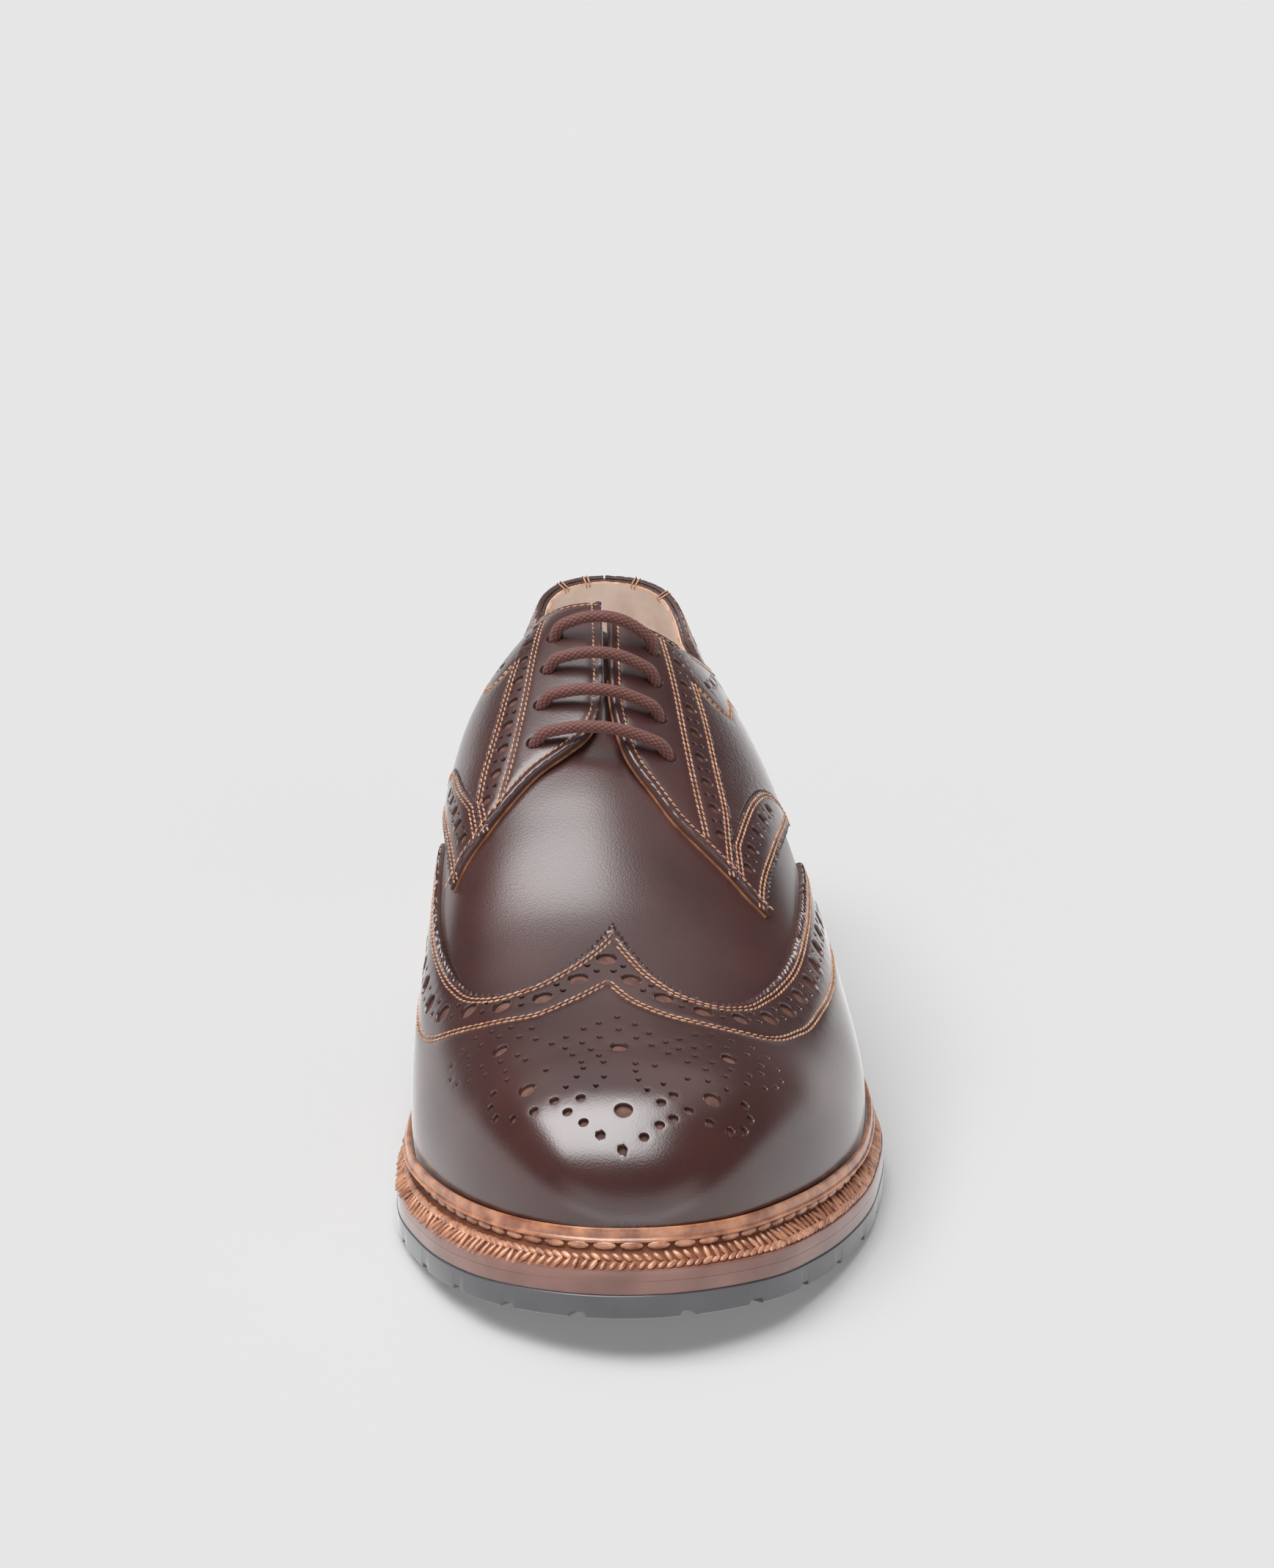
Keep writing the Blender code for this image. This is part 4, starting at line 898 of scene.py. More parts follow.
def ellipsoids(centres, along, out, half, around=6, rings=4):
    """Points and faces of many ellipsoids: a circle of points about the long axis at each of a few
    angles from end to end, with half sizes along, across and out."""
    across = np.cross(out, along)
    tilt = np.linspace(0, math.pi, rings + 1)
    turn = np.linspace(0, 2 * math.pi, around, endpoint=False)
    tilt, turn = np.meshgrid(tilt, turn, indexing="ij")
    local = np.stack([np.cos(tilt), np.sin(tilt) * np.cos(turn), np.sin(tilt) * np.sin(turn)], -1)
    local = local.reshape(-1, 3)
    half = np.broadcast_to(np.asarray(half, float), (len(centres), 3))
    scaled = local[None] * half[:, None]
    places = centres[:, None] + (scaled[..., 0:1] * along[:, None] + scaled[..., 1:2] * across[:, None]
                                 + scaled[..., 2:3] * out[:, None])
    faces = tube(rings, around)[None] + (np.arange(len(centres)) * len(local))[:, None, None]
    return places.reshape(-1, 3), faces.reshape(-1, 4)


def stitches(name, rows, finish):
    """Thread stitches along pattern lines: one slim ellipsoid a stitch, leaning a little off its line.
    Each row gives its line and the height it lies at."""
    centres, along, out = [], [], []
    for line, height in rows:
        spots = even(line, STITCH_PITCH, trim=STITCH_TRIM)
        forward, left, up = directions(spots)
        centres.append(base(spots) + height * up)
        along.append(unit(forward + STITCH_LEAN * left))
        out.append(up)
    cloud, faces = ellipsoids(*map(np.concatenate, (centres, along, out)), STITCH_HALF)
    return new_piece(name, cloud, [(faces, 0)], [finish], crease=180)


def double(line, height):
    """The two stitch rows of a double row, either side of a line."""
    return [(slide(line, -ROW_GAP / 2), height), (slide(line, ROW_GAP / 2), height)]


def brogueing(line, pitch, radius, pin, spread, trim=0.0):
    """Large holes along a pattern line and a pair of pinholes across it between each two."""
    spots = even(line, pitch, trim)
    between = (spots[1:] + spots[:-1]) / 2
    pins = np.concatenate([slide(between, -spread), slide(between, spread)])
    return [(spots, radius), (pins, pin)]


def ring_piece(name, rings, finishes, kinds, nodes=(), crease=35, caps=(None, None)):
    """A piece from closed rings of points round the shoe, joined in order; kinds gives each joining
    band's finish. caps fills the first and last ring, each with a height function of plan points."""
    count = len(rings[0])
    cloud = [np.asarray(ring) for ring in rings]
    groups = []
    spot = np.arange(count)
    beside = (spot + 1) % count
    bands = len(rings) - 1 if caps[0] else len(rings)
    for number in range(bands):
        a, b = number * count, (number + 1) % len(rings) * count
        groups.append((np.column_stack([a + spot, a + beside, b + beside, b + spot]), kinds[number]))
    for cap, ring, flip in ((caps[0], rings[0], True), (caps[1], rings[-1], False)):
        if cap is None:
            continue
        loop = ring[:, :2]
        low, high = loop.min(0), loop.max(0)
        grid = grid_points(*(np.arange(low[axis], high[axis], CAP_STEP) for axis in (0, 1)))
        points, triangles = triangulate(loop, grid, CAP_CLEAR)
        start = sum(len(part) for part in cloud)
        cloud.append(np.column_stack([points, cap(points)]))
        groups.append(((triangles[:, ::-1] if flip else triangles) + start, kinds[0 if flip else -1]))
    return new_piece(name, np.concatenate(cloud), groups, finishes, nodes, crease)


def raised(loop, distance, rise):
    """A plan loop moved out by a distance, at a rise above the sole's underside."""
    moved = grow(loop[:, :2], distance)
    return np.column_stack([moved, ground(moved[:, 1]) + rise])


def lifted(loop, distance, lift):
    """A loop on the last's wall moved out in plan and lifted."""
    moved = grow(loop, distance)
    moved[:, 2] += lift
    return moved


def shader_of(name):
    """A new material, its node tree and its shader."""
    finish = bpy.data.materials.new(name)
    finish.use_nodes = True
    return finish, finish.node_tree, finish.node_tree.nodes["Principled BSDF"]


def blend(tree, dark, light):
    """A mix of two colours."""
    mix = tree.nodes.new("ShaderNodeMix")
    mix.data_type = "RGBA"
    mix.inputs["A"].default_value = (*dark, 1)
    mix.inputs["B"].default_value = (*light, 1)
    return mix


def mottled(tree, scale, dark, light):
    """A colour that wanders between two by noise on the object's own coordinates."""
    place = tree.nodes.new("ShaderNodeTexCoord")
    noise = tree.nodes.new("ShaderNodeTexNoise")
    noise.inputs["Scale"].default_value = scale
    noise.inputs["Detail"].default_value = MOTTLE_DETAIL
    mix = blend(tree, dark, light)
    spread = tree.nodes.new("ShaderNodeMapRange")
    spread.inputs["From Min"].default_value, spread.inputs["From Max"].default_value = MOTTLE_RANGE
    tree.links.new(place.outputs["Object"], noise.inputs["Vector"])
    tree.links.new(noise.outputs["Fac"], spread.inputs["Value"])
    tree.links.new(spread.outputs["Result"], mix.inputs["Factor"])
    return place, mix.outputs["Result"]


def roughened(tree, place, shader, scale, depth, kind="ShaderNodeTexVoronoi"):
    """A bump of cells or noise on the shader, its depth in metres."""
    cells = tree.nodes.new(kind)
    cells.inputs["Scale"].default_value = scale
    bump = tree.nodes.new("ShaderNodeBump")
    bump.inputs["Distance"].default_value = depth
    tree.links.new(place.outputs["Object"], cells.inputs["Vector"])
    tree.links.new(cells.outputs["Distance" if "Voronoi" in kind else "Fac"], bump.inputs["Height"])
    tree.links.new(bump.outputs["Normal"], shader.inputs["Normal"])


def surface(name, dark, light, roughness, scale=40.0, grain=None, coat=0.0, sheen=0.0, gloss=0.5,
            glow=0.0):
    """A finish with a wandering colour, a roughness, a grain of scale, depth and kind, a coat, a sheen,
    a strength of reflection, and a glow: painted light, given off in the finish's own colour."""
    finish, tree, shader = shader_of(name)
    place, colour = mottled(tree, scale, dark, light)
    tree.links.new(colour, shader.inputs["Base Color"])
    tree.links.new(colour, shader.inputs["Emission Color"])
    for socket, value in (("Roughness", roughness), ("Specular IOR Level", gloss), ("Coat Weight", coat),
                          ("Coat Roughness", COAT_ROUGHNESS), ("Sheen Weight", sheen),
                          ("Sheen Roughness", SHEEN_ROUGHNESS), ("Emission Strength", glow)):
        shader.inputs[socket].default_value = value
    if grain:
        roughened(tree, place, shader, *grain)
    return finish


CALF = surface("polished calf", (0.058, 0.0205, 0.019), (0.086, 0.033, 0.0305), 0.29,
               grain=(2100.0, 0.000022), coat=0.20, sheen=0.8, gloss=0.95)
CAP_CALF = surface("toe calf", (0.056, 0.0185, 0.017), (0.084, 0.0305, 0.027), 0.22,
                   grain=(2100.0, 0.000014), coat=0.45, sheen=0.8, gloss=1.0)
GRAINED = surface("grained calf", (0.058, 0.0225, 0.021), (0.086, 0.035, 0.0325), 0.33,
                  grain=(1100.0, 0.0001), coat=0.20, sheen=0.8, gloss=1.0)
CUT = surface("cut leather edge", (0.070, 0.028, 0.021), (0.12, 0.052, 0.038), 0.5)
RAW = surface("raw leather", (0.115, 0.050, 0.039), (0.225, 0.108, 0.085), 0.75, scale=400.0)
TAN = surface("raw tan edge", (0.52, 0.26, 0.15), (0.80, 0.46, 0.30), 0.8, scale=300.0)
LINED = surface("lining edge", (0.24, 0.090, 0.040), (0.46, 0.20, 0.10), 0.7, scale=300.0)
# Suede lining and insole: their own beige, lightened, with a faint glow; the lightening and the glow are
# painted light on the shaded inside of the shoe
SUEDE = surface("suede lining", (0.84, 0.72, 0.64), (0.96, 0.86, 0.79), 0.95, scale=120.0,
                grain=(1500.0, 0.00016, "ShaderNodeTexNoise"), sheen=0.5, glow=0.07)
THREAD = surface("tan thread", (0.50, 0.24, 0.14), (0.82, 0.49, 0.33), 0.6, scale=500.0)
WELT = surface("welt leather", (0.33, 0.098, 0.040), (0.70, 0.30, 0.15), 0.30, scale=220.0,
               grain=(1600.0, 0.00010, "ShaderNodeTexNoise"), coat=0.5, sheen=0.5, gloss=1.0)
LEDGE = surface("plait ground", (0.17, 0.050, 0.022), (0.28, 0.095, 0.044), 0.7, scale=220.0)
BRAID = surface("plaited stitch", (0.36, 0.118, 0.052), (0.80, 0.39, 0.22), 0.28, scale=330.0,
                grain=(2600.0, 0.00010, "ShaderNodeTexNoise"), coat=0.6, sheen=0.5, gloss=1.0)
EDGE = surface("sole edge", (0.23, 0.092, 0.066), (0.33, 0.15, 0.115), 0.28, scale=90.0,
               grain=(900.0, 0.00004, "ShaderNodeTexNoise"), coat=0.4, sheen=0.8, gloss=1.0)
RUBBER = surface("dark rubber", (0.084, 0.084, 0.094), (0.112, 0.112, 0.123), 0.30, scale=60.0,
                 coat=0.2, sheen=0.8, gloss=1.0)


def cord_finish():
    """Braided cord with painted shade between the strands: darker where the strand height, which each cord
    keeps as an attribute, is low.
    """
    finish, tree, shader = shader_of("braided cord")
    strand = tree.nodes.new("ShaderNodeAttribute")
    strand.attribute_name = "strand"
    # Painted shade: near black at the roots of the strands, the cord's brown on their crowns
    mix = blend(tree, (0.045, 0.013, 0.010), (0.29, 0.108, 0.088))
    tree.links.new(strand.outputs["Fac"], mix.inputs["Factor"])
    tree.links.new(mix.outputs["Result"], shader.inputs["Base Color"])
    shader.inputs["Roughness"].default_value = 0.65
    shader.inputs["Sheen Weight"].default_value = 0.2
    return finish


LACE = cord_finish()
LEATHER_FINISHES = [CALF, CUT, CUT, RAW]


def front_edge(side):
    """The folded front edge of facing and ear, from the top of the lace gap to the ear's tip."""
    edge, tip = (FACING_EDGE_IN, EAR_TIP_IN) if side < 0 else (FACING_EDGE_OUT, EAR_TIP_OUT)
    return curve((*edge, *tip[1:]), side)


def folded(side):
    """A bead along the front edge: half an ellipse in section."""
    edge = base(front_edge(side))

    def shape(points, places):
        apart = (distances(places, edge) - FOLD_WIDTH / 2) / (FOLD_WIDTH / 2)
        return FOLD_RISE * np.sqrt(np.clip(1 - apart * apart, 0, 1))

    return shape


def eyelets(side):
    """Pattern points of one facing's lace holes."""
    shares = EYELET_IN if side < 0 else EYELET_OUT
    return on_pattern(list(zip(EYELET_STATIONS, shares)), side)


def throat_dip(points):
    """How far the empty vamp sinks between the facings: a power of the distance past the dip's start,
    back to nothing under the facings, by smooth steps in station and share."""
    past = np.clip((points[:, 0] - DIP_START) / DIP_LENGTH, 0, DIP_LIMIT) ** DIP_POWER
    back = np.clip((DIP_START + 2 * DIP_LENGTH - points[:, 0]) / DIP_LENGTH, 0, 1)
    across = np.clip((DIP_HALF_WIDTH - np.abs(points[:, 1])) / (DIP_SIDE * DIP_HALF_WIDTH), 0, 1)
    return DIP_DEPTH * past * back ** 2 * (3 - 2 * back) * across ** 2 * (3 - 2 * across)


def build_upper():
    """The wall in two layers: calf outside, suede lining inside with a raw tan edge at the collar."""
    slot = THROAT_SHARE * SHARE_SPAN
    tops = {-1: topline(TOPLINE_IN, -1), 1: topline(TOPLINE_OUT, 1)}
    facing_tops = {-1: curve(FACING_TOP_IN, -1), 1: curve(FACING_TOP_OUT, 1)}
    collar, sides = {}, {}
    for side in (-1, 1):
        outer = facing_tops[side][np.abs(facing_tops[side][:, 1]) > slot]
        collar[side] = np.concatenate([outer[:-2], tops[side]])
        at = np.linspace(THROAT_END + THROAT_ROUND, outer[0, 0], THROAT_POINTS)
        sides[side] = np.column_stack([at, np.full(THROAT_POINTS, side * slot)])
    turn = np.linspace(-1, 1, THROAT_POINTS // 2)[1:-1]
    end = THROAT_END + THROAT_ROUND - THROAT_ROUND * np.sqrt(1 - turn * turn)
    end = np.column_stack([end, slot * turn])
    back = seam_line(abs(tops[-1][-1, 1]), UPPER_SEAM_POINTS)
    outline = chain(foot_line(TOE_MARGIN, BACK, -1), (back * (1, -1))[::-1], collar[-1][::-1],
                    sides[-1][::-1], end, sides[1], collar[1], back, foot_line(BACK, TOE_MARGIN, 1),
                    toe_line())
    holes = [(np.concatenate([eyelets(-1), eyelets(1)]), EYELET_RADIUS)]
    rows = np.concatenate([TOE_ROWS[::2], np.arange(COARSE_FROM, BACK, COARSE_STEPS[0])])
    coarse = grid_points(rows, np.arange(-SHARE_SPAN + 1, SHARE_SPAN, COARSE_STEPS[1]))
    shared = {"bores": holes, "grid": coarse, "sunk": throat_dip}
    leather("upper_wall", outline, -WALL + LINING, 0.0, [CALF, CUT, CUT], edge=0.4, nodes=["upper"], **shared)
    leather("upper_lining", outline, -WALL, -WALL + LINING, [SUEDE, SUEDE, TAN], edge=0.3, **shared)


def build_wing():
    """Toe cap and wings: saw-tooth top edge, a brogued band between double rows, a punched toe medallion."""
    tops = [curve(WING_TOP_IN, -1), curve(WING_TOP_OUT, 1)]
    teeth = np.concatenate([sawtooth(tops[0][::-1], -TOOTH_DEPTH), sawtooth(tops[1], -TOOTH_DEPTH)[1:]])
    outline = chain(foot_line(TOE_MARGIN, tops[0][-1, 0], -1), teeth,
                    foot_line(tops[1][-1, 0], TOE_MARGIN, 1), toe_line())
    seams = []
    for side, top, low in ((-1, tops[0], WING_ROW_IN), (1, tops[1], WING_ROW_OUT)):
        seams += [slide(top, -side * WING_TOP_INSET), curve(low, side)]
    holes = []
    for rows, side in ((WING_HOLES_IN, -1), (WING_HOLES_OUT, 1)):
        found = brogueing(curve(rows, side), *WING_BROGUE)
        if side > 0:
            found[0] = (found[0][0][1:], found[0][1])
        holes += found
    holes += [(on_pattern(spots, 1), radius) for radius, *spots in MEDALLION]
    leather("wing_cap_leather", outline, SEATED, WING_OUT, [CAP_CALF, CUT, CUT, RAW], holes, seams,
            nodes=["wing_cap"])
    stitched = []
    for number, line in enumerate(seams):
        side = -1 if number < 2 else 1
        middle = line[0, 1] if number % 2 else 0.0
        for row, height in double(line, WING_OUT - ROW_SINK):
            stitched.append((row[side * (row[:, 1] - middle) >= PEAK_CLEAR], height))
    return stitched


def build_facing(name, side, rows, band_row, band_holes):
    """One eyelet facing: folded front edge with a single row, brogued band between double rows."""
    edge, spur, back, top = (curve(line, side) for line in rows)
    outline = chain(edge, spur, back, top[::-1])
    behind = slide(np.concatenate([spur, back[1:]]), side * FACING_BACK_INSET)
    behind = behind[behind[:, 0] < BAND_IN[0][0] - BAND_CLEAR]
    first = curve(band_row, side)
    single = slide(edge, side * EDGE_ROW)
    crest = slide(top, -side * FACING_TOP_INSET)
    holes = brogueing(curve(band_holes, side), *FACING_BROGUE)
    leather(f"{name}_leather", outline, LAPPED, FACING_OUT, LEATHER_FINISHES, holes,
            [behind, first, single, crest], bores=[(eyelets(side), EYELET_RADIUS)], shape=folded(side),
            nodes=[name])
    low = FACING_OUT - ROW_SINK
    return double(behind, low) + double(first, low) + [(single, low), (crest, low)]


def build_ear(name, side, rows, hole_rows):
    """The rounded tab below a facing: folded front, arched double row, saw-tooth lower edge."""
    tip, low, arch, spur = (curve(line, side) for line in rows)
    low = low[low[:, 0] < arch[-1, 0] - ARCH_CLEAR]
    outline = chain(tip, sawtooth(low, side * TOOTH_DEPTH), arch[::-1], spur[::-1])
    over = slide(np.concatenate([spur, arch[1:]]), -side * EAR_ARCH_INSET)
    under = slide(low, side * EAR_LOW_INSET)
    holes = brogueing(curve(hole_rows, side), *EAR_BROGUE)
    leather(f"{name}_leather", outline, LAPPED, EAR_OUT, LEATHER_FINISHES, holes, [over, under],
            shape=folded(side), nodes=[name])
    height = EAR_OUT - ROW_SINK
    return double(over, height) + double(under, height) + [(slide(tip, side * EDGE_ROW), height)]


def build_quarter(name, side, rows, band_front):
    """One side panel with a brogued band below the topline."""
    back, arch, low, top = rows
    arch_line = curve(arch, side)
    low_line = curve(low, side)
    low_line = low_line[low_line[:, 0] > arch_line[-1, 0] + ARCH_CLEAR]
    counter = curve((*COUNTER_TOP, (BACK - SEAM_GAP, COUNTER_BACK_SHARE)), side)
    collar = topline(top, side)
    collar[-1, 0] = BACK - SEAM_GAP
    outline = chain(curve(back, side)[::-1], arch_line, low_line,
                    foot_line(low_line[-1, 0], counter[0, 0], side), counter, collar[::-1])
    below = topline(top, side, BAND_DROP, band_front[-1][0] + BAND_JOIN)[:-2]
    band = np.concatenate([curve(band_front, side), below])
    band = curve(np.column_stack([band[::6, 0], side * band[::6, 1] / SHARE_SPAN]), side)
    middle = slide(band, side * BAND_HOLE_INSET)
    middle = middle[distances(base(middle), base(band)) > BAND_HOLE_CLEAR]
    near_top = topline(top, side, COLLAR_INSET, top[0][0] + COLLAR_INSET)[:-2]
    low_row = slide(low_line, side * QUARTER_LOW_INSET)
    holes = brogueing(middle, *QUARTER_BROGUE, trim=QUARTER_TRIM)
    leather(f"{name}_leather", outline, SEATED, QUARTER_OUT, [GRAINED, CUT, CUT, RAW], holes,
            [band, near_top, low_row], nodes=[name])
    low = QUARTER_OUT - ROW_SINK
    return double(band, low) + double(low_row, low) + [(near_top, low)]


def build_counter():
    """The heel counter: saw-tooth upper edge, double row and brogue holes."""
    rows = []
    parts = []
    for side in (-1, 1):
        edge = curve((*COUNTER_TOP, (BACK, COUNTER_BACK_SHARE)), side)
        back = seam_line(COUNTER_BACK_SHARE * SHARE_SPAN, COUNTER_SEAM_POINTS) * (1, side)
        teeth = sawtooth(edge[:-1], side * TOOTH_DEPTH)
        outline = chain(teeth, back, foot_line(BACK, edge[0, 0], side))
        seams = [slide(edge, -side * inset) for inset in COUNTER_INSETS]
        middle = slide(edge, -side * COUNTER_HOLE_INSET)
        middle = middle[middle[:, 0] < BACK - SEAM_CLEAR]
        holes = brogueing(middle, *COUNTER_BROGUE, trim=COUNTER_TRIM)
        parts.append(leather_mesh(outline, SEATED, COUNTER_OUT, holes, seams))
        for row in seams:
            rows += double(row[:-1], COUNTER_OUT - ROW_SINK)
    start = len(parts[0][0])
    groups = parts[0][1] + [(faces + start, number) for faces, number in parts[1][1]]
    new_piece("heel_counter_leather", np.concatenate([parts[0][0], parts[1][0]]), groups, LEATHER_FINISHES,
              ["heel_counter"])
    return rows


def build_tacks():
    """Pairs of thread stitches laid over the collar's edge: three short stitches to a pass, down
    the outside, over the top and down the lining."""
    centres, along, out = [], [], []
    for side, station in TACKS:
        line = topline(TOPLINE_IN if side < 0 else TOPLINE_OUT, side, 0.0, station - TACK_LEAD)[:2]
        line[:, 0] = (station - TACK_APART, station + TACK_APART)
        forward, _, up = directions(line)
        top = unit(np.cross(forward, up) * side)
        top *= np.sign(top[:, 2:])
        outer = base(line) + (QUARTER_OUT + TACK_OFF) * up
        inner = base(line) - (WALL + TACK_OFF) * up
        over = (outer + inner) / 2 + TACK_OVER * top
        centres += [outer - TACK_DOWN * top, over, inner - TACK_DOWN * top]
        along += [top, up, top]
        out += [up, top, -up]
    half = np.tile(np.repeat(TACK_HALF, 2, axis=0), (len(TACKS), 1))
    cloud, faces = ellipsoids(*map(np.concatenate, (centres, along, out)), half)
    new_piece("collar_tacks", cloud, [(faces, 0)], [THREAD], crease=180)


def build_raw_edges():
    """The tan edge of the facing's lining, a ribbon just showing below the folded edge."""
    for name, side in (("lining_edge_medial", -1), ("lining_edge_lateral", 1)):
        line = front_edge(side)
        line = line[line[:, 0] < RAW_END]
        strips = [slide(line, side * distance) for distance in RAW_LINES]
        rings = [base(strips[number]) + height * normals(strips[number]) for number, height in RAW_RINGS]
        count = len(line)
        at = np.arange(count - 1)
        groups = []
        for number in range(len(rings) - 1):
            a, b = number * count, (number + 1) * count
            quad = np.column_stack([a + at, a + at + 1, b + at + 1, b + at])
            groups.append((quad if side < 0 else quad[:, ::-1], 0))
        new_piece(name, np.concatenate(rings), groups, [LINED])


def build_laces():
    """Four bars of braided cord. Each leaves a medial eyelet, bows over the ridge and goes down the lateral
    one; its radius carries two sets of crossing spiral strands."""
    rest = FACING_OUT + LACE_RADIUS + LACE_CLEAR
    for number, at in enumerate(EYELET_STATIONS):
        ends = {-1: eyelets(-1)[number:number + 1], 1: eyelets(1)[number:number + 1]}
        path = []
        for side in (-1, 1):
            seat = ends[side] + (0.0, side * LACE_FOOT_OUT)
            foot, out = base(seat), normals(seat)
            part = [foot + height * out for height in LACE_FOOT]
            path.append(np.concatenate(part if side < 0 else part[::-1]))
        way = np.linspace(-LACE_REACH, LACE_REACH, LACE_BAR_POINTS)
        medial, lateral = ends[-1][0, 1], ends[1][0, 1]
        across = (lateral + medial) / 2 + way * (lateral - medial) / 2
        bar = np.column_stack([np.full(LACE_BAR_POINTS, at), across])
        lift = rest + LACE_BOW[number] * (1 - way ** 2)
        path.insert(1, base(bar) + normals(bar) * lift[:, None])
        path = np.concatenate(path)
        run = run_along(path)
        stops = np.arange(0, run[-1], CORD_STEP)
        line = np.column_stack([through(np.column_stack([run, column]), stops) for column in path.T])
        along = unit(np.gradient(line, axis=0))
        side_way = unit(np.cross(along, LACE_UPRIGHT))
        up = np.cross(side_way, along)
        turn = np.linspace(0, 2 * math.pi, CORD_SIDES, endpoint=False)
        angle, run_at = np.meshgrid(STRANDS * turn, STRAND_TURN * stops)
        strands = np.abs(np.sin(angle + run_at) * np.sin(angle - run_at)) ** 0.5
        radius = LACE_RADIUS * (STRAND_ROOT + STRAND_RISE * strands)
        ring = side_way[:, None] * np.cos(turn)[None, :, None] + up[:, None] * np.sin(turn)[None, :, None]
        cloud = (line[:, None] + radius[..., None] * ring).reshape(-1, 3)
        quads = tube(len(stops) - 1, CORD_SIDES)
        cord = new_piece(f"lace_cord_{number + 1}", cloud, [(quads, 0)], [LACE], [f"lace_{number + 1}"],
                         180)
        # The strand height also sets the cord's painted shade between the strands
        kept = cord.data.attributes.new("strand", "FLOAT", "POINT")
        kept.data.foreach_set("value", strands.ravel().astype(np.float32))


def side_run(loop):
    """Distance of each point of a loop from the toe tip, along its own side."""
    step = np.linalg.norm(np.roll(loop, -1, axis=0) - loop, axis=1)
    ahead = np.concatenate([[0], np.cumsum(step)[:-1]])
    half = LOOP_POINTS // 2
    run = ahead.copy()
    run[half:] = step.sum() - ahead[half:]
    return run


def build_sole():
    """Rubber outsole with edge grooves, and the midsole's edge: profiles of distance out from the sole's
    edge and height, run round the shoe."""
    run = side_run(SOLE_LOOP)
    places = np.linspace(NOTCH_START, NOTCH_END, NOTCHES_PER_SIDE)
    apart = np.abs(run[:, None] - places).min(1)
    notch = NOTCH_DEPTH * np.clip((NOTCH_WIDTH / 2 + NOTCH_SLOPE / 2 - apart) / NOTCH_SLOPE, 0, 1)
    profile = [(-NOTCH_REACH, 0.0), (-NOTCH_REACH + 1.5, notch), (-0.7, notch),
               (-0.15, np.maximum(0.35, notch)), (0.0, np.maximum(0.9, notch + 0.2)),
               (0.0, RUBBER_TOP - 0.3), (-0.35, RUBBER_TOP)]
    rings = [raised(SOLE_LOOP, *place) for place in profile]
    ring_piece("outsole_rubber", rings, [RUBBER], [0] * len(rings), ["outsole"],
               caps=(lambda p: ground(p[:, 1]), lambda p: ground(p[:, 1]) + RUBBER_TOP))
    profile = [(-0.9, RUBBER_TOP + 0.02), (-0.3, RUBBER_TOP + 0.05), (-0.15, RUBBER_TOP + 0.25),
               (-0.15, MIDSOLE_TOP - 0.03), (-0.18, MIDSOLE_TOP)]
    rings = [raised(SOLE_LOOP, *place) for place in profile]
    ring_piece("midsole_edge", rings, [EDGE], [0] * len(rings), ["midsole"],
               caps=(lambda p: ground(p[:, 1]) + RUBBER_TOP + 0.05, lambda p: ground(p[:, 1]) + MIDSOLE_TOP))


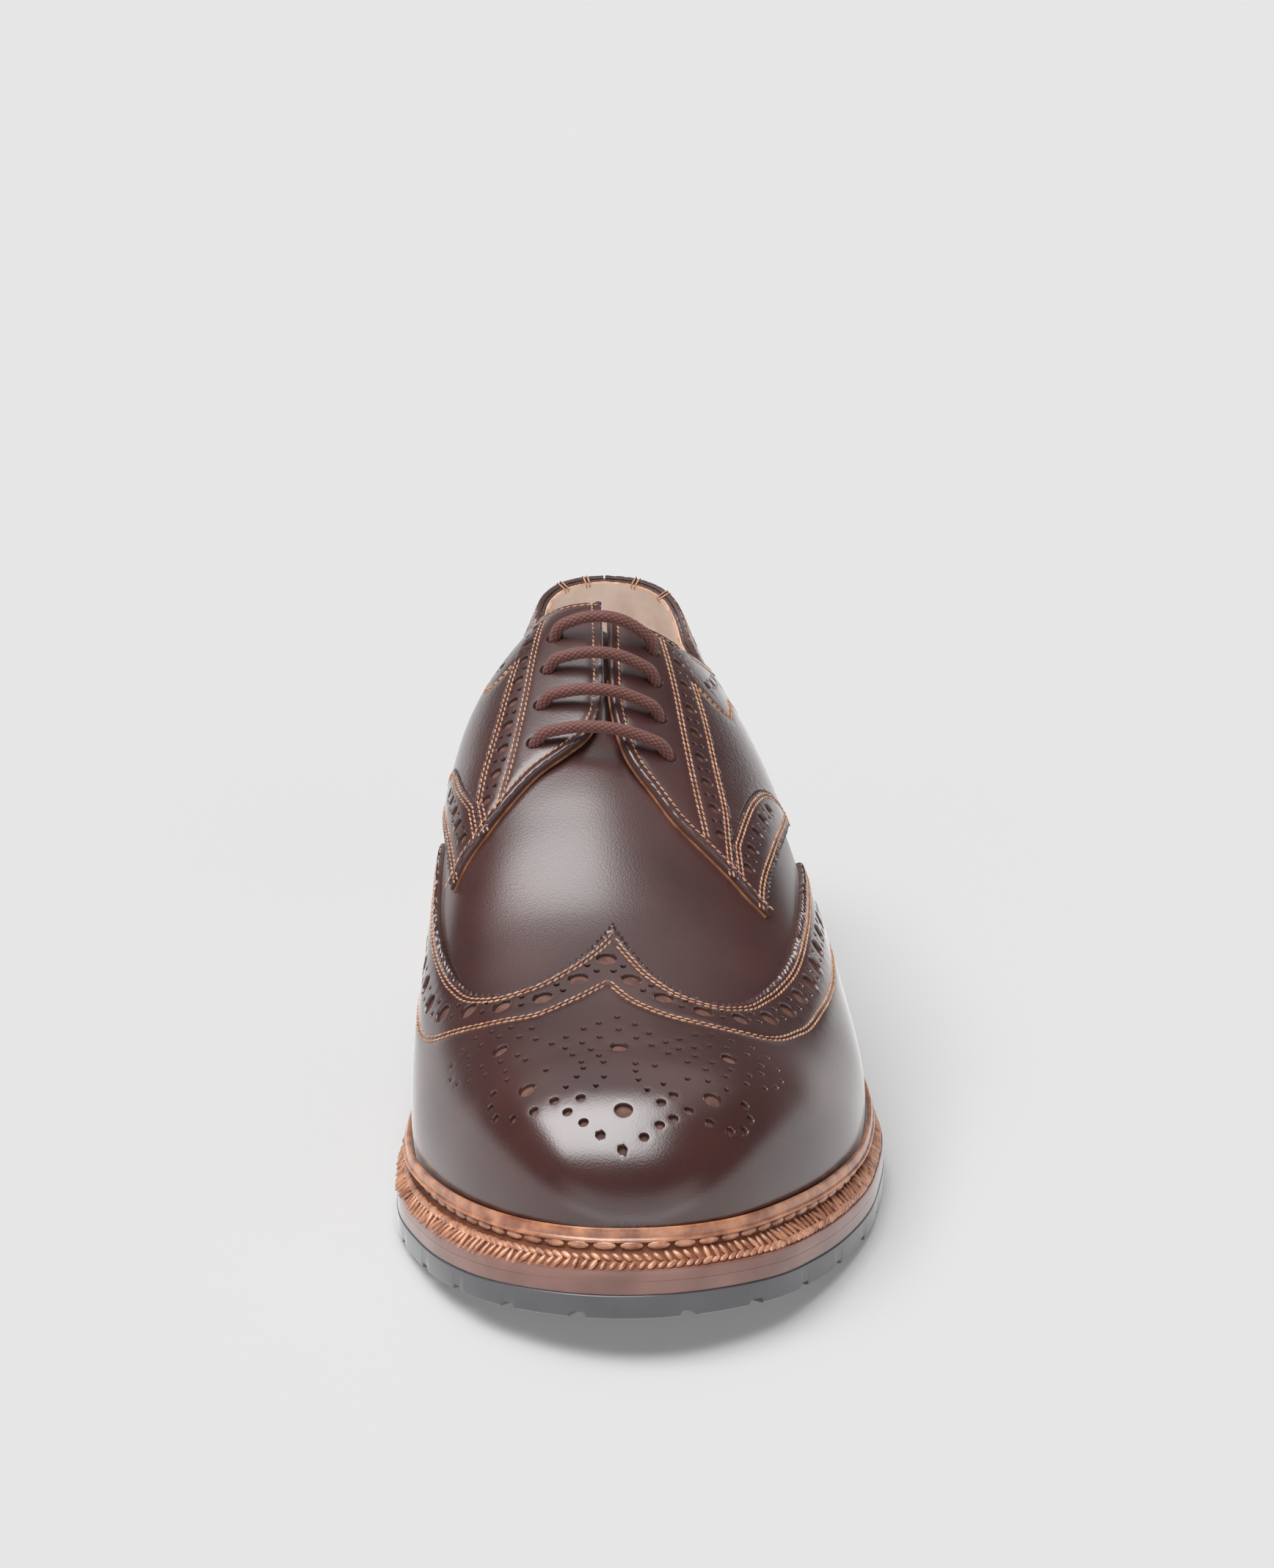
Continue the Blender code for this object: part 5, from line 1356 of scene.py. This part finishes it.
def build_welt():
    """The welt: satin edge, ledge, and a rim with a bead against the upper, as profiles of distance out and
    height run round the shoe; on the ledge a plait of leather stitches, two rows that lean against each
    other and a row of scallops along the rim."""
    rim, middle = level_loop(RIM_HEIGHT), level_loop(RIM_MIDDLE)
    braid_top = WELT_TOP + BRAID_RISE
    edge = [(-0.18, MIDSOLE_TOP + 0.03), (-0.15, MIDSOLE_TOP + 0.06), (-0.15, WELT_TOP - 0.5),
            (-0.35, WELT_TOP - 0.1), (-0.8, WELT_TOP)]
    ledge = [(RIM_OUTER + 0.4, braid_top - 1.6), (RIM_OUTER - 0.6, braid_top - 0.6)]
    bead = [(RIM_OUTER - 0.75, -3.1), (RIM_OUTER - 0.2, -3.0), (RIM_OUTER + 0.05, -2.7),
            (RIM_OUTER - 0.05, -2.3), (RIM_OUTER - 0.5, -2.0), (RIM_OUTER - 0.45, -0.8),
            (RIM_OUTER - 0.8, -0.15), (RIM_INNER + 0.5, 0.0), (RIM_INNER, -0.35)]
    rings = [raised(FOOT_LOOP, -WELT_TUCK, MIDSOLE_TOP + 0.05)]
    rings += [raised(SOLE_LOOP, *place) for place in edge]
    rings += [raised(FOOT_LOOP, *place) for place in ledge]
    rings += [lifted(rim, *place) for place in bead]
    rings += [lifted(middle, RIM_INNER, 0.0), raised(FOOT_LOOP, RIM_INNER, WELT_TOP),
              raised(FOOT_LOOP, -WELT_TUCK, WELT_TOP)]
    kinds = [0, 0, 0, 0, 0, 2, 2, 2] + [1] * (len(rings) - 8)
    ring_piece("welt_leather", rings, [EDGE, WELT, LEDGE], kinds, ["welt"])
    outer = raised(SOLE_LOOP, -0.7, WELT_TOP)
    inner = raised(FOOT_LOOP, RIM_OUTER + 0.3, braid_top - 1.3)
    length = np.linalg.norm(np.roll(outer, -1, axis=0) - outer, axis=1).sum()
    count = round(length / PLAIT_PITCH)
    at = np.arange(count) * LOOP_POINTS / count
    chance = np.random.default_rng(5)

    def along_loop(loop, index):
        closed = np.concatenate([loop, loop[:1]])
        index, spots = index % LOOP_POINTS, np.arange(LOOP_POINTS + 1)
        return np.column_stack([np.interp(index, spots, column) for column in closed.T])

    def forward_at(loop, index):
        return unit(along_loop(loop, index + 0.5) - along_loop(loop, index - 0.5))

    def varied(usual, spread):
        return usual + spread * chance.standard_normal((count, 1))

    clouds, faces = [], []
    for share, lean, shift in PLAIT_ROWS:
        index = at + shift * LOOP_POINTS / count
        low, high = along_loop(outer, index), along_loop(inner, index)
        forward = forward_at(outer, index)
        across = high - low
        width = np.linalg.norm(across, axis=1, keepdims=True)
        up = unit(np.cross(forward, across))
        direction = unit(lean * across / width + forward * varied(*PLAIT_LEAN))
        centre = low + across * share + up * varied(*PLAIT_RISE)
        stretch = np.column_stack([width[:, 0] / LEDGE_WIDTH, np.ones(count), np.ones(count)])
        half = np.array(PLAIT_HALF) * stretch * varied(1, PLAIT_SPREAD)
        cloud, quads = ellipsoids(centre, direction, up, half, around=8, rings=6)
        faces.append(quads + sum(len(c) for c in clouds))
        clouds.append(cloud)
    loops = round(length / SCALLOP_PITCH)
    index = np.arange(loops) * LOOP_POINTS / loops
    hem = raised(FOOT_LOOP, RIM_OUTER - 0.35, braid_top + 0.3)
    centre = along_loop(hem, index)
    forward = forward_at(hem, index)
    up = unit(np.cross(np.cross(forward, (0, 0, 1.0)), forward))
    cloud, quads = ellipsoids(centre, forward, up, SCALLOP_HALF, around=8, rings=6)
    faces.append(quads + sum(len(c) for c in clouds))
    clouds.append(cloud)
    new_piece("welt_plait", np.concatenate(clouds), [(np.concatenate(faces), 0)], [BRAID], crease=180)


def heel_ring(inset, height):
    """Outline of the heel behind its breast, drawn in by an inset, as an even ring at a height."""
    loop = grow(SOLE_LOOP, -inset)
    loop = loop[loop[:, 1] > BREAST_AT + HEEL_CLEAR]
    share = np.linspace(0, 1, BREAST_POINTS // 2)
    breast = loop[-1] + (loop[0] - loop[-1]) * share[:, None]
    breast[:, 1] = BREAST_AT + BREAST_CURVE * (1 - (2 * share - 1) ** 2)
    closed = np.concatenate([resample(loop, HEEL_POINTS), resample(breast, BREAST_POINTS)])
    return np.column_stack([closed, np.full(len(closed), height)])


def build_heel():
    """The heel's stacked layers, with a fine line at each joint, on a rubber lift."""
    joints = np.linspace(LIFT_HEIGHT + JOINT_GAP, HEEL_HEIGHT - JOINT_GAP, HEEL_LAYERS + 1)
    rings = []
    for low, high in zip(joints[:-1], joints[1:]):
        for z, inset in ((low, JOINT_DEPTH), (low + JOINT_ROUND, 0.0), (high - JOINT_ROUND, 0.0),
                         (high, JOINT_DEPTH)):
            taper = HEEL_TAPER * (TAPER_TOP + TAPER_GAIN * (HEEL_HEIGHT - z) / HEEL_HEIGHT)
            rings.append(heel_ring(taper + inset, z))
    flat = np.ones_like
    ring_piece("heel_stack_leather", rings, [EDGE], [0] * len(rings), ["heel_stack"],
               caps=(lambda p: joints[0] * flat(p[:, 0]), lambda p: joints[-1] * flat(p[:, 0])))
    rings = [heel_ring(*place) for place in LIFT_PROFILE]
    ring_piece("heel_lift_rubber", rings, [RUBBER], [0] * len(rings), ["heel_lift"],
               caps=(lambda p: 0 * flat(p[:, 0]), lambda p: LIFT_HEIGHT * flat(p[:, 0])))


def build_shoe():
    """All the shoe's pieces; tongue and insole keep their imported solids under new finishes."""
    for node, finish in (("tongue", CALF), ("insole", SUEDE)):
        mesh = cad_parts[node].data
        mesh.materials.clear()
        mesh.materials.append(finish)
    build_upper()
    stitches("wing_stitching", build_wing(), THREAD)
    rows = build_facing("facing_medial", -1, (FACING_EDGE_IN, SPUR_IN, FACING_BACK_IN, FACING_TOP_IN),
                        FACING_ROW_IN, FACING_HOLES_IN)
    rows += build_facing("facing_lateral", 1, (FACING_EDGE_OUT, SPUR_OUT, FACING_BACK_OUT, FACING_TOP_OUT),
                         FACING_ROW_OUT, FACING_HOLES_OUT)
    rows += build_ear("ear_medial", -1, (EAR_TIP_IN, QUARTER_LOW_IN, EAR_ARCH_IN, SPUR_IN), EAR_HOLES_IN)
    rows += build_ear("ear_lateral", 1, (EAR_TIP_OUT, QUARTER_LOW_OUT, EAR_ARCH_OUT, SPUR_OUT), EAR_HOLES_OUT)
    stitches("facing_stitching", rows, THREAD)
    rows = build_quarter("quarter_medial", -1, (FACING_BACK_IN, EAR_ARCH_IN, QUARTER_LOW_IN, TOPLINE_IN),
                         BAND_IN)
    rows += build_quarter("quarter_lateral", 1, (FACING_BACK_OUT, EAR_ARCH_OUT, QUARTER_LOW_OUT, TOPLINE_OUT),
                          BAND_OUT)
    stitches("quarter_stitching", rows + build_counter(), THREAD)
    build_tacks()
    build_raw_edges()
    build_laces()
    build_sole()
    build_welt()
    build_heel()


def worker(tree):
    """A function that adds a sum to a node tree, and one that adds a soft step from full to none."""
    def worked(operation, *values):
        node = tree.nodes.new("ShaderNodeMath")
        node.operation = operation
        for socket, value in zip(node.inputs, values):
            if isinstance(value, (int, float)):
                socket.default_value = value
            else:
                tree.links.new(value, socket)
        return node.outputs[0]

    def faded(value, full, none):
        node = tree.nodes.new("ShaderNodeMapRange")
        node.interpolation_type = "SMOOTHSTEP"
        tree.links.new(value, node.inputs["Value"])
        node.inputs["From Min"].default_value = none
        node.inputs["From Max"].default_value = full
        return node.outputs["Result"]

    return worked, faded


def axes(tree, output):
    """The three numbers of a texture coordinate."""
    place = tree.nodes.new("ShaderNodeTexCoord")
    parts = tree.nodes.new("ShaderNodeSeparateXYZ")
    tree.links.new(place.outputs[output], parts.inputs["Vector"])
    return parts.outputs


def build_floor():
    """A wide pale floor with a faint light of its own."""
    mesh = bpy.data.meshes.new("floor")
    corners = [(x * FLOOR_REACH, y * FLOOR_REACH, 0) for x, y in ((-1, -1), (1, -1), (1, 1), (-1, 1))]
    mesh.from_pydata(corners, [], [(0, 1, 2, 3)])
    finish, tree, shader = shader_of("pale floor")
    shader.inputs["Emission Color"].default_value = (1, 1, 1, 1)
    shader.inputs["Emission Strength"].default_value = FLOOR_GLOW
    shader.inputs["Base Color"].default_value = (*FLOOR_COLOUR, 1)
    shader.inputs["Roughness"].default_value = 1.0
    shader.inputs["Specular IOR Level"].default_value = 0.0
    mesh.materials.append(finish)
    floor = bpy.data.objects.new("floor", mesh)
    bpy.context.scene.collection.objects.link(floor)


def build_light():
    """The studio as a surround: softboxes overhead, a dark room, a paler horizon and a glow in front."""
    world = bpy.data.worlds.new("studio")
    bpy.context.scene.world = world
    world.use_nodes = True
    tree = world.node_tree
    worked, faded = worker(tree)
    x, y, z = axes(tree, "Generated")
    above = worked("MAXIMUM", z, LOWEST)
    across, along = worked("DIVIDE", x, above), worked("DIVIDE", y, above)
    light = worked("ADD", worked("MULTIPLY", faded(z, *HORIZON_FADE), HORIZON), ROOM)
    front = worked("MULTIPLY", faded(y, *FRONT_FADE), faded(z, *FRONT_HEIGHT_FADE))
    light = worked("ADD", light, worked("MULTIPLY", front, FRONT))
    for middle_x, half_x, middle_y, half_y, soft, strength in SOFTBOXES:
        box = strength
        for value, middle, half in ((across, middle_x, half_x), (along, middle_y, half_y)):
            apart = worked("ABSOLUTE", worked("SUBTRACT", value, middle))
            box = worked("MULTIPLY", faded(apart, half - soft, half + soft), box)
        light = worked("ADD", light, box)
    tree.links.new(light, tree.nodes["Background"].inputs["Strength"])
    tree.nodes["Background"].inputs["Color"].default_value = (1, 1, 1, 1)


def build_camera():
    """The camera, in front of the toe and above it, by its place, pitch, yaw and focal length."""
    camera = bpy.data.cameras.new("camera")
    camera.sensor_fit = "VERTICAL"
    camera.sensor_height = SENSOR_HEIGHT
    camera.lens = SENSOR_HEIGHT * (FOCAL_PIXELS / PICTURE_PIXELS)
    camera.clip_start = NEAREST
    eye = bpy.data.objects.new("camera", camera)
    bpy.context.scene.collection.objects.link(eye)
    eye.location = [(value - centre) * MM for value, centre in zip(CAMERA_AT, (*CENTRE, 0))]
    eye.rotation_euler = Euler((math.radians(90 - CAMERA_PITCH), 0, math.radians(-CAMERA_YAW)))
    bpy.context.scene.camera = eye
    bpy.context.scene.view_settings.view_transform = "Standard"


build_shoe()
build_floor()
build_light()
build_camera()
